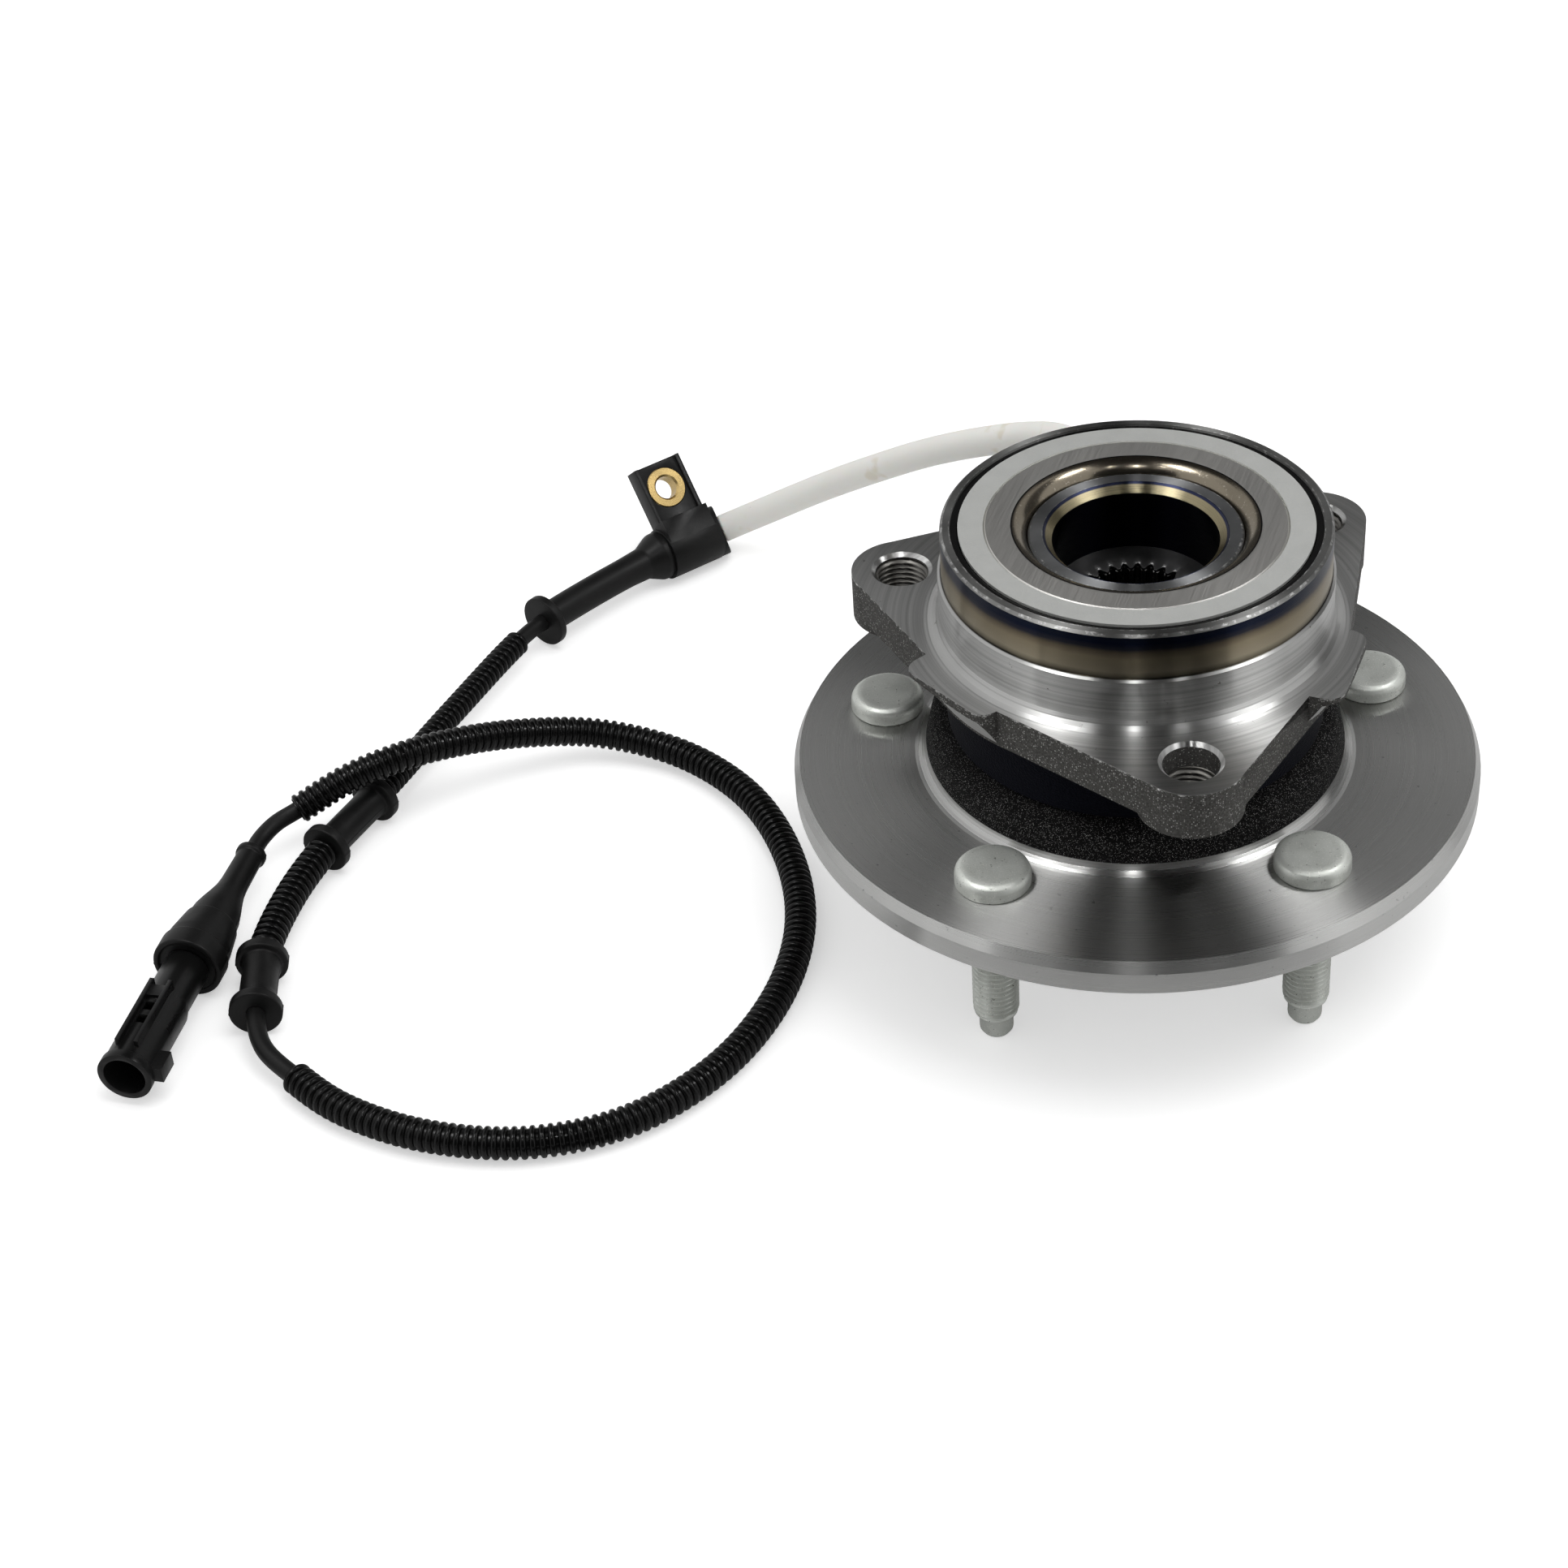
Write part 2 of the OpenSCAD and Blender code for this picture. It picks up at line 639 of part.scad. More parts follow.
// Pads between the ears: they stand out past the base circle at the top edge, and slope in to it below
module pads() {
    corner_r = 4.5;
    land = 0.8;
    slope_h = 1.7;
    intersection() {
        translate([0, 0, plate_z0]) linear_extrude(plate_t) around(ear_count, ear_turn + pad_turn)
            nose_outline(web_r - 12, pad_r, pad_shift - pad_w / 2, pad_shift + pad_w / 2, corner_r);
        turned([
            [0, plate_z0 - 1], [web_r - 1, plate_z0 - 1], [pad_r - 0.2, plate_z1 - land - slope_h],
            [pad_r + corner_r, plate_z1 - land], [pad_r + corner_r, plate_z1 + 1], [0, plate_z1 + 1]]);
    }
}

// Boss at the back of the housing that seats the sensor and its screw
module sensor_boss() {
    half_h = sensor_r + sensor_wall;
    low_y = -sensor_screw_x - sensor_screw_d / 2 - 5.5;
    high_y = sensor_r + 5;
    translate([0, 0, middle_z - half_h]) linear_extrude(2 * half_h) rotate(sensor_turn)
        nose_outline(land_r + 2, sensor_seat_r, low_y, high_y, 4);
}

// Housing, or outer ring: both raceways, the knuckle seat, three ears and the sensor boss
module housing() {
    ear_chamfer = 1;
    seat_foot = 4.2;
    edge = 0.5;
    lead_in = 0.7;
    s0 = seal_bore_h;
    s1 = raceway_s1;
    top = housing_z1;
    low = housing_z0;
    tip_hole_r = sensor_tip_d / 2 + 0.2;
    color("darkgray") difference() {
        union() {
            turned(concat(
                [[0, low], [barrel_r - edge, low], [barrel_r, low + edge], [barrel_r, plate_z0 + 1],
                 [seat_r + seat_foot, plate_z0 + 1]],
                foot(seat_r, plate_z1, seat_foot),
                [[seat_r, spigot_z - lead_in], [spigot_r, spigot_z], [spigot_r, top - lead_in],
                 [spigot_r - lead_in, top], [0, top]]));
            translate([0, 0, plate_z0]) linear_extrude(plate_t) plate_outline();
            pads();
            around(ear_count, ear_turn) translate([ear_r, 0, plate_z0 - ear_boss_t])
                cylinder(h = ear_boss_t + plate_t, r = ear_end_r);
            sensor_boss();
        }
        // Inside: seal bores, raceways and the land between them
        turned([
            [0, low - 1], [seal_bore_r, low - 1], [seal_bore_r, low + s0], [cup_r(s0), low + s0],
            [cup_r(s1), low + s1], [land_r, low + s1], [land_r, top - s1], [cup_r(s1), top - s1],
            [cup_r(s0), top - s0], [seal_bore_r, top - s0], [seal_bore_r, top + 1], [0, top + 1]]);
        around(ear_count, ear_turn) translate([ear_r, 0, 0]) {
            translate([0, 0, plate_z0 - ear_boss_t - 1])
                cylinder(h = plate_t + ear_boss_t + 2, r = ear_hole_r);
            translate([0, 0, plate_z1 - ear_chamfer])
                cylinder(h = ear_chamfer + 1, r1 = ear_hole_r, r2 = ear_hole_r + ear_chamfer + 1);
        }
        at_sensor() {
            cylinder(h = sensor_seat_r, r = tip_hole_r);
            translate([0, 0, barrel_r0 - 0.5]) cylinder(h = sensor_seat_r, r = sensor_r);
            translate([0, -sensor_screw_x, sensor_seat_r - sensor_screw_depth - 1])
                cylinder(h = sensor_screw_depth + 5, r = sensor_screw_d / 2);
        }
    }
}

// Wheel speed sensor: barrel with an O-ring groove, screw flange and cable neck
module speed_sensor() {
    body_r = sensor_r - 0.1;
    tip_chamfer = 0.8;
    groove_s = sensor_seat_r - groove_at;
    groove_r = sensor_r - o_ring_d - 0.05;
    neck_end = norm([sleeve_route[0][0], sleeve_route[0][1]]);
    neck_r = sleeve_d / 2;
    color("#202020") at_sensor() difference() {
        union() {
            turned([
                [0, barrel_r0], [body_r - tip_chamfer, barrel_r0], [body_r, barrel_r0 + tip_chamfer],
                [body_r, groove_s], [groove_r, groove_s], [groove_r, groove_s + groove_w],
                [body_r, groove_s + groove_w], [body_r, sensor_seat_r + 1], [0, sensor_seat_r + 1]]);
            translate([0, 0, sensor_seat_r]) linear_extrude(sensor_flange_t) {
                circle(sensor_r + 2);
                translate([0, -sensor_screw_x]) circle(screw_lug_r);
                translate([-screw_lug_r, -sensor_screw_x]) square([2 * screw_lug_r, sensor_screw_x]);
            }
            turned([
                [0, sensor_out_r - 1], [sensor_r + 0.5, sensor_out_r - 1],
                [sensor_r + 0.5, sensor_out_r + 1], [neck_r + 0.6, sensor_out_r + 4],
                [neck_r, neck_end - 1], [neck_r, neck_end], [0, neck_end]]);
        }
        translate([0, -sensor_screw_x, sensor_seat_r - 1])
            cylinder(h = sensor_flange_t + 2, r = sensor_screw_d / 2 + 0.2);
    }
}

module sensor_o_ring() {
    color("black") at_sensor() translate([0, 0, sensor_seat_r - groove_at + groove_w / 2])
        rotate_extrude() translate([sensor_r - o_ring_d / 2, 0]) circle(o_ring_d / 2, $fn = 32);
}

module sensor_tip() {
    color("gray") at_sensor() translate([0, 0, tip_r0]) cylinder(h = barrel_r0 - tip_r0, d = sensor_tip_d);
}

// Screw that holds the sensor's flange: hexagon head with a washer face
module sensor_screw() {
    head_w = 10;
    head_t = 4;
    washer_t = 1.2;
    color("silver") at_sensor() translate([0, -sensor_screw_x, 0]) {
        translate([0, 0, sensor_seat_r - sensor_screw_depth])
            cylinder(h = sensor_screw_depth + sensor_flange_t + 0.5, r = sensor_screw_d / 2);
        translate([0, 0, sensor_out_r]) cylinder(h = washer_t, r = screw_lug_r - 0.6);
        translate([0, 0, sensor_out_r + washer_t - 0.2])
            cylinder(h = head_t, r = head_w / 2 / cos(30), $fn = 6);
    }
}

// Cable: one length from the sensor to the connector
module lead_cable() {
    color("#1c1c1c") bar(cable_route, cable_d / 2);
}

module heat_sleeve() {
    color("ivory") pipe(sleeve_route, sleeve_d / 2, tube_bore_r);
}

module upper_tube() {
    color("#181818") pipe(tube1_route, tube1_d / 2, tube_bore_r);
}

module middle_tube() {
    color("#181818") pipe(tube2_route, tube2_d / 2, tube_bore_r);
}

module long_tube() {
    color("#181818") pipe(tube3_route, tube3_d / 2, tube_bore_r);
}

// A bored rubber grommet on the straight from a to b, its outline in [radius, length]
module grommet(a, b, outline) {
    length = norm(b - a);
    level_from(a, heading(a, b)) difference() {
        turned(outline);
        translate([0, 0, -1]) cylinder(h = length + 2, r = grommet_bore_r);
    }
}

// Rubber grommet in the bracket: end collar, body and a sleeve that bends away to its own collar
module bracket_grommet() {
    core_len = norm(bracket_b - bracket_a);
    tail_len = norm(grommet1_end - bracket_b);
    ring_r = 8;
    ring_t = 4;
    shoulder_r = 7.6;
    shoulder_at = clip_gap + clip_len + 0.3;
    tail_r = 4.8;
    tail_bore_r = grommet_bore_r + 0.3;
    disc_r = 7.9;
    disc_t = 2.7;
    edge = 0.5;
    color("#141414") difference() {
        union() {
            level_from(bracket_a, heading(bracket_a, bracket_b)) turned([
                [0, 0], [ring_r - 0.8, 0], [ring_r, 0.8], [ring_r, ring_t - edge], [ring_r - edge, ring_t],
                [core_r, ring_t], [core_r, shoulder_at], [shoulder_r - edge, shoulder_at],
                [shoulder_r, shoulder_at + edge], [shoulder_r, shoulder_at + 1.6],
                [tail_r + 0.2, core_len], [0, core_len]]);
            level_from(bracket_b, heading(bracket_b, grommet1_end)) turned([
                [0, -4], [tail_r, -4], [tail_r - 0.2, tail_len - disc_t - 0.7],
                [disc_r - edge, tail_len - disc_t - edge], [disc_r, tail_len - disc_t],
                [disc_r, tail_len - edge], [disc_r - edge, tail_len], [0, tail_len]]);
        }
        level_from(bracket_a, heading(bracket_a, bracket_b)) translate([0, 0, -1])
            cylinder(h = core_len + 1.2, r = grommet_bore_r);
        level_from(bracket_b, heading(bracket_b, grommet1_end)) translate([0, 0, -1.5])
            cylinder(h = tail_len + 2.5, r = tail_bore_r);
    }
}

// Puts a child in the clip's frame: x towards the tab's end, y along the lead, z out of the tab's face
module at_clip() {
    translate(bracket_a) rotate([0, 0, heading(bracket_a, bracket_b) - 90])
        rotate([0, -tab_lean, 0]) children();
}

// Plastic clip round the bracket grommet, with a rimmed tab that carries the bush
module bracket_clip() {
    clip_r = clip_d / 2;
    rim_w = 1.4;
    rim_h = 1.2;
    side_y = clip_mid - tab_w / 2;
    color("#101010") at_clip() difference() {
        union() {
            translate([0, clip_gap, 0]) rotate([-90, 0, 0]) cylinder(h = clip_len, r = clip_r);
            translate([0, side_y, tab_z0]) cube([tab_reach, tab_w, tab_t]);
            for (y = [side_y, side_y + tab_w - rim_w])
                translate([clip_r - 2, y, tab_z0]) cube([tab_reach - clip_r + 2, rim_w, tab_t + rim_h]);
            translate([-1, side_y, tab_z0]) cube([clip_r + 2, tab_w, clip_r + 0.8]);
        }
        translate([0, clip_gap - 1, 0]) rotate([-90, 0, 0]) cylinder(h = clip_len + 2, r = core_r + 0.1);
        translate([bush_x, clip_mid, tab_z0 - 1]) cylinder(h = tab_t + 3, r = bush_r);
    }
}

module bracket_bush() {
    proud = 0.3;
    color("peru") at_clip() translate([bush_x, clip_mid, tab_z0 - proud]) difference() {
        cylinder(h = tab_t + 2 * proud, r = bush_r);
        translate([0, 0, -1]) cylinder(h = tab_t + 3, r = bush_hole_d / 2);
    }
}

// Grommet with a collar at each end
module collared(a, b, body_r) {
    length = norm(b - a);
    disc_r = collar_d / 2;
    disc_t = 3;
    edge = 0.5;
    color("#141414") grommet(a, b, [
        [0, 0], [disc_r - edge, 0], [disc_r, edge], [disc_r, disc_t - edge], [disc_r - edge, disc_t],
        [body_r, disc_t], [body_r, length - disc_t], [disc_r - edge, length - disc_t],
        [disc_r, length - disc_t + edge], [disc_r, length - edge], [disc_r - edge, length], [0, length]]);
}

module middle_grommet() {
    collared(grommet2_a, grommet2_b, 4.9);
}

module lower_grommet() {
    collared(grommet3_a, grommet3_b, 5.5);
}

// Connector boot: neck with its end bead, flare, bell and the rubber flange against the shell
module connector_boot() {
    neck_r = 3.7;
    bead_r = 4.3;
    bell_r = 8.9;
    flange_r = boot_d / 2;
    bell_end = boot_len - 6;
    edge = 0.5;
    color("#151515") level_from(boot_a, boot_turn) turned([
        [0, 0], [bead_r - edge / 2, 0], [bead_r, edge], [bead_r, 1.8], [neck_r, 2.2],
        [neck_r + 0.2, bell_end - 29], [neck_r + 0.5, bell_end - 25], [bell_r - 1.9, bell_end - 12],
        [bell_r - 1.4, bell_end - 11.5], [bell_r, bell_end - 3], [bell_r, bell_end],
        [flange_r, bell_end + edge], [flange_r, boot_len - 1], [flange_r - 0.8, boot_len], [0, boot_len]]);
}

// Connector shell: round barrel with ribs, a latch window, a key and an open socket
module connector_shell() {
    shell_r = shell_d / 2;
    root_r = shell_r - 0.8;
    step_at = boot_len + 14;
    lip_r = shell_r + 0.5;
    lip_len = 2.5;
    rib_w = 1.2;
    rib_len = 24;
    latch_w = 5.2;
    window_w = 2.8;
    key_w = 4.4;
    key_len = 7;
    color("#101010") level_from(boot_a, boot_turn) difference() {
        union() {
            turned([
                [0, boot_len], [root_r, boot_len], [root_r, step_at], [shell_r, step_at + 3],
                [shell_r, shell_mouth - lip_len - 0.5], [lip_r, shell_mouth - lip_len],
                [lip_r, shell_mouth], [0, shell_mouth]]);
            // Two guide ribs with the latch between them, and the key
            for (y = [-latch_w / 2, latch_w / 2])
                translate([-shell_r - 1.4, y - rib_w / 2, step_at]) cube([3, rib_w, rib_len]);
            translate([-shell_r - 1.1, -latch_w / 2, step_at + 2]) cube([2.6, latch_w, 4]);
            translate([-key_w / 2, shell_r - 1.4, shell_mouth - key_len - 2]) cube([key_w, 4.2, key_len]);
        }
        translate([0, 0, shell_mouth - socket_depth]) cylinder(h = socket_depth + 1, r = socket_d / 2);
        for (z = [step_at + 7.5, step_at + 12.5])
            translate([-shell_r - 2, -window_w / 2, z]) cube([4.3, window_w, 3]);
    }
}

// Two blades that stand in the socket
module connector_terminals() {
    blade_w = 1.6;
    blade_t = 0.8;
    blade_len = 14;
    pitch = 4;
    color("goldenrod") level_from(boot_a, boot_turn) for (y = [-pitch / 2, pitch / 2])
        translate([-blade_t / 2, y - blade_w / 2, shell_mouth - socket_depth])
            cube([blade_t, blade_w, blade_len]);
}

hub();
wheel_studs();
outboard_cone();
inboard_cone();
tone_ring();
outboard_slinger();
inboard_slinger();
outboard_cage();
outboard_rollers();
inboard_cage();
inboard_rollers();
housing();
outboard_seal_case();
outboard_seal_lip();
inboard_seal_case();
inboard_seal_lip();
speed_sensor();
sensor_o_ring();
sensor_tip();
sensor_screw();
lead_cable();
heat_sleeve();
bracket_grommet();
bracket_clip();
bracket_bush();
upper_tube();
middle_grommet();
middle_tube();
lower_grommet();
long_tube();
connector_boot();
connector_shell();
connector_terminals();
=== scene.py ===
# %% [markdown]
# A driven wheel hub with its tapered roller bearing and its speed sensor lead, finished in Blender.
# The solids were drawn in CAD and packed in metres, so every piece here goes where the solids say. This
# lesson loads them as a fixed frame, adds what CAD leaves plain, such as threads, corrugated tubes and
# moulded rubber, and gives each surface its own finish.

import math

import bmesh
import bpy
import numpy as np
from mathutils import Matrix, Vector, noise


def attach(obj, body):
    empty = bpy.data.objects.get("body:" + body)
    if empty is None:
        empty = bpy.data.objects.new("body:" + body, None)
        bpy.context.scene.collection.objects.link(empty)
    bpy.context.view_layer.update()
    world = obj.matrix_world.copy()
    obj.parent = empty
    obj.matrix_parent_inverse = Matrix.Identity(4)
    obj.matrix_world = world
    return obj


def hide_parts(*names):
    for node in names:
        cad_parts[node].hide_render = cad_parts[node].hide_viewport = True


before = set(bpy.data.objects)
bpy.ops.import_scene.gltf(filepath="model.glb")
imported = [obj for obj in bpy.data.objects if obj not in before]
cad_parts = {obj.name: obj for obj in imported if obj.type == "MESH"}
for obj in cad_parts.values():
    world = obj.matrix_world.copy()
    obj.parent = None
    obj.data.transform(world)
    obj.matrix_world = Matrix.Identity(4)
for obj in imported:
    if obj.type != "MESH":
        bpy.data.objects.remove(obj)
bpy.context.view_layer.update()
MM = 0.001

# %% [markdown]
# The camera comes first, because everything else is judged through it. It could be placed by eye, but here
# its place, tilt and roll were worked out from the round edges of the hub, with the studs taken to stand on a
# circle of 135 mm. A long lens from about 0.87 metres gives the mild perspective of a product photograph.

# %% Camera
CAMERA_PLACE = (-92.5, -666.8, 561.2)
CAMERA_TILT = 37.77
CAMERA_ROLL = -4.35
CAMERA_LENS = 73.45
SENSOR_WIDTH = 36


def make_camera():
    """Looks along +Y, tilted down and rolled a little about its own line of sight."""
    data = bpy.data.cameras.new("camera")
    data.sensor_width = SENSOR_WIDTH
    data.lens = CAMERA_LENS
    camera = bpy.data.objects.new("camera", data)
    bpy.context.scene.collection.objects.link(camera)
    tilt = Matrix.Rotation(math.radians(90 - CAMERA_TILT), 4, "X")
    roll = Matrix.Rotation(math.radians(CAMERA_ROLL), 4, "Z")
    camera.matrix_world = Matrix.Translation(Vector(CAMERA_PLACE) * MM) @ tilt @ roll
    bpy.context.scene.camera = camera
    return camera


camera = make_camera()
print("camera looks along", [round(v, 3) for v in camera.matrix_world.to_3x3() @ Vector((0, 0, -1))])

# %% [markdown]
# The lead is one cable from the sensor to the connector, with a sleeve, grommets and corrugated tubes
# threaded on it. Its route is a list of points, the same as in the CAD model, but for the arch of the sleeve,
# which falls a little sooner. A curve object could follow them, but every piece on the cable has to follow
# the very same line, so the points are joined by one smooth curve in code, and each piece takes its own
# stretch.

# %% The lead's route, in millimetres
sleeve_route = [(-6, 76.2, 90.5), (-6.8, 85, 89.6), (-10, 97.5, 84.2), (-17, 111.5, 76.4),
                (-29, 126.5, 66.4), (-43, 142, 54.4), (-58, 156, 41.4), (-74, 168.5, 28.2),
                (-91, 177, 16.2), (-106, 180, 8.3)]
bracket_a = (-106, 180, 8.3)
bracket_b = (-130, 164.5, 8.3)
grommet1_end = (-162, 136, 8.3)
tube1_route = [(-169, 127, 8.2), (-188, 94, 7.7), (-208, 57.5, 7.2)]
grommet2_b = (-222, 34, 7.2)
tube2_route = [(-222, 34, 7.2), (-230.5, 13, 7.2), (-235.5, -10, 7.2)]
grommet3_b = (-235.5, -33, 7.2)
cable2_route = [(-232.6, -45, 6)]
tube3_route = [(-224, -55.5, 4.6), (-210.5, -69, 4.4), (-189, -81, 4.4), (-163, -86.2, 4.4),
               (-138, -81.2, 4.4), (-115, -64.5, 4.4), (-98.5, -39, 4.4), (-91, -10, 4.4),
               (-93, 20.5, 4.4), (-103.5, 49, 4.4), (-122, 69.5, 5), (-145, 77.5, 8.2),
               (-166, 73, 13.6), (-184, 64.5, 18.6), (-200, 56.5, 20.8), (-214.5, 51.5, 18.4),
               (-229.5, 46.5, 12.4)]
cable3_route = [(-235.5, 43, 11), (-239.5, 37.8, 10)]
boot_a = (-241.5, 32, 9.7)
BOOT_TURN = 254
cable_route = (sleeve_route + [bracket_b, grommet1_end] + tube1_route + [grommet2_b] + tube2_route[1:]
               + [grommet3_b] + cable2_route + tube3_route + cable3_route + [boot_a])
print("points on the route:", len(cable_route))


# %% One smooth curve through the points
def smooth_curve(points, per_span=40):
    """A smooth curve through every point: its samples, and how far along each sample and point lies."""
    p = np.array(points, float) * MM
    p = np.vstack([2 * p[0] - p[1], p, 2 * p[-1] - p[-2]])
    samples = [p[1]]
    for i in range(1, len(p) - 2):
        a, b, c, d = p[i - 1:i + 3]
        t0 = 0.0
        t1 = t0 + np.linalg.norm(b - a) ** 0.5
        t2 = t1 + np.linalg.norm(c - b) ** 0.5
        t3 = t2 + np.linalg.norm(d - c) ** 0.5
        for t in np.linspace(t1, t2, per_span + 1)[1:]:
            ab = a + (b - a) * (t - t0) / (t1 - t0)
            bc = b + (c - b) * (t - t1) / (t2 - t1)
            cd = c + (d - c) * (t - t2) / (t3 - t2)
            abc = ab + (bc - ab) * (t - t0) / (t2 - t0)
            bcd = bc + (cd - bc) * (t - t1) / (t3 - t1)
            samples.append(abc + (bcd - abc) * (t - t1) / (t2 - t1))
    samples = np.array(samples)
    along = np.concatenate([[0], np.cumsum(np.linalg.norm(np.diff(samples, axis=0), axis=1))])
    return samples, along, along[::per_span]


lead_line, lead_along, point_along = smooth_curve(cable_route)
LEAD_LENGTH = float(lead_along[-1])
print("length of the lead in mm:", round(LEAD_LENGTH / MM, 1))


# %% Places and directions along the lead
def along_of(point):
    """Distance along the lead, in metres, of one of the route's own points."""
    return float(point_along[cable_route.index(point)])


def lead_frames(distances):
    """Place, side and up vectors at each distance. The side stays level, so a sweep never twists."""
    distances = np.asarray(distances, float)
    step = 0.4 * MM
    place = np.column_stack([np.interp(distances, lead_along, lead_line[:, k]) for k in range(3)])
    ahead = np.column_stack([np.interp(distances + step, lead_along, lead_line[:, k]) for k in range(3)])
    behind = np.column_stack([np.interp(distances - step, lead_along, lead_line[:, k]) for k in range(3)])
    direction = ahead - behind
    direction /= np.linalg.norm(direction, axis=1)[:, None]
    side = np.cross([0, 0, 1.0], direction)
    side /= np.linalg.norm(side, axis=1)[:, None]
    return place, side, np.cross(direction, side)


print("sleeve ends at", round(along_of(bracket_a) / MM, 1), "mm")


# %% [markdown]
# Most of the pieces are round in section, so two helpers make nearly all of them. One sweeps an outline
# along the lead, the other turns an outline about an axis. Both take the outline as pairs of distance and
# radius. A third helper rounds an outline's corners first, because rounded edges catch the light.

# %% Helpers: rounded outlines
def rounded(outline, radius, steps=4):
    """The outline with each corner replaced by a short arc. The first and last points stay."""
    out = [outline[0]]
    for before, corner, after in zip(outline[:-2], outline[1:-1], outline[2:]):
        a, c, b = (Vector(v) for v in (before, corner, after))
        u, v = (a - c), (b - c)
        size = min(radius, 0.45 * u.length, 0.45 * v.length)
        if size < 1e-9 or u.angle(v, math.pi) > math.radians(176):
            out.append(tuple(c))
            continue
        p, q = c + u.normalized() * size, c + v.normalized() * size
        for k in range(steps + 1):
            t = k / steps
            out.append(tuple((1 - t) ** 2 * p + 2 * t * (1 - t) * c + t ** 2 * q))
    out.append(outline[-1])
    return out


def mesh_object(name, vertices, faces, body, sharp=35):
    """A smooth shaded piece that rides on a CAD body. Edges steeper than sharp degrees stay crisp."""
    mesh = bpy.data.meshes.new(name)
    mesh.from_pydata([tuple(v) for v in vertices], [], faces)
    tidy = bmesh.new()
    tidy.from_mesh(mesh)
    bmesh.ops.remove_doubles(tidy, verts=tidy.verts, dist=1e-7)
    bmesh.ops.recalc_face_normals(tidy, faces=tidy.faces)
    tidy.to_mesh(mesh)
    tidy.free()
    mesh.shade_smooth()
    mesh.set_sharp_from_angle(angle=math.radians(sharp))
    piece = bpy.data.objects.new(name, mesh)
    bpy.context.scene.collection.objects.link(piece)
    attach(piece, body)
    return piece


def ring_faces(rings, sides, closed=False):
    """Quads that join rings of vertices in order, and the last ring to the first if closed."""
    faces = []
    for i in range(rings if closed else rings - 1):
        a, b = i * sides, ((i + 1) % rings) * sides
        faces += [(a + k, a + (k + 1) % sides, b + (k + 1) % sides, b + k) for k in range(sides)]
    return faces


# %% Helpers: sweeping and turning
def swept(name, start, outline, sides=40, shape=None, body="housing_unit"):
    """A closed outline of (distance from start, radius) in mm, swept along the lead."""
    s, r = np.array(outline, float).T * MM
    place, side, up = lead_frames(start + s)
    angle = np.linspace(0, 2 * math.pi, sides, endpoint=False)
    factor = np.ones((len(s), sides)) if shape is None else shape(s / MM, angle)
    across = side[:, None] * np.cos(angle)[None, :, None] + up[:, None] * np.sin(angle)[None, :, None]
    vertices = place[:, None] + across * (r[:, None] * factor)[:, :, None]
    return mesh_object(name, vertices.reshape(-1, 3), ring_faces(len(s), sides, closed=True), body)


def turned(name, place, outline, sides=96, body="housing_unit"):
    """A closed outline of (height, radius) in mm, turned about the local Z axis of the matrix place."""
    angle = np.linspace(0, 2 * math.pi, sides, endpoint=False)
    vertices = [place @ (Vector((r * math.cos(a), r * math.sin(a), h)) * MM)
                for h, r in outline for a in angle]
    return mesh_object(name, vertices, ring_faces(len(outline), sides, closed=True), body)


print("helpers ready")

# %% [markdown]
# The cable is a curve with a round bevel: a curve keeps its own centreline, which is how a cord is
# measured. Its thickness is the radius of its points, and the bevel only says that the section is round. The
# cable shows between the grommets and tubes, and runs on inside them.

# %% Cable
CABLE_D = 5.0
CABLE_STEP = 1.5


def make_cable():
    distances = np.arange(0, LEAD_LENGTH, CABLE_STEP * MM)
    place = lead_frames(np.append(distances, LEAD_LENGTH))[0]
    data = bpy.data.curves.new("cable", "CURVE")
    data.dimensions = "3D"
    data.bevel_depth = 1
    data.bevel_resolution = 5
    data.use_fill_caps = True
    spline = data.splines.new("POLY")
    spline.points.add(len(place) - 1)
    for point, at in zip(spline.points, place):
        point.co = (*at, 1)
        point.radius = CABLE_D / 2 * MM
    spline.use_smooth = True
    cable = bpy.data.objects.new("cable", data)
    bpy.context.scene.collection.objects.link(cable)
    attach(cable, "housing_unit")
    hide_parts("lead_cable")
    return cable


cable = make_cable()
print("cable spans", len(cable.data.splines[0].points), "points")

# %% [markdown]
# The pale heat sleeve is pushed over the cable next to the sensor. It is a soft tube, so its wall is not
# quite round: a little noise along and around it keeps it from looking like a rod.

# %% Heat sleeve
SLEEVE_D = 8.8
TUBE_BORE = CABLE_D / 2 + 0.6


def soft_wall(s, angle, size=22.0, depth=0.012):
    """A factor near 1 for each ring and side, from slow noise."""
    factor = np.ones((len(s), len(angle)))
    for i, at in enumerate(s):
        for k, turn in enumerate(angle):
            spot = Vector((at / size, 0.7 * math.cos(turn), 0.7 * math.sin(turn)))
            factor[i, k] = 1 - depth + depth * noise.noise(spot)
    return factor


def make_sleeve():
    length = along_of(bracket_a) / MM
    steps = [0.0, 0.15, 0.5] + list(np.arange(2, length - 1, 2.0)) + [length - 0.5, length - 0.15, length]
    radius = SLEEVE_D / 2
    outer = [(s, radius - 0.35 * max(0.0, 1 - min(s, length - s) / 0.5)) for s in steps]
    inner = [(s, TUBE_BORE) for s in reversed(steps)]
    sleeve = swept("sleeve", 0, outer + inner, sides=36, shape=soft_wall)
    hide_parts("heat_sleeve")
    return sleeve


sleeve = make_sleeve()
print("sleeve vertices:", len(sleeve.data.vertices))

# %% [markdown]
# The corrugated tubes are a row of separate round ribs with narrow dark grooves between them. Displacing a
# smooth tube would blur the grooves, so each rib is drawn: a flat root, a quick rise and a domed crest.

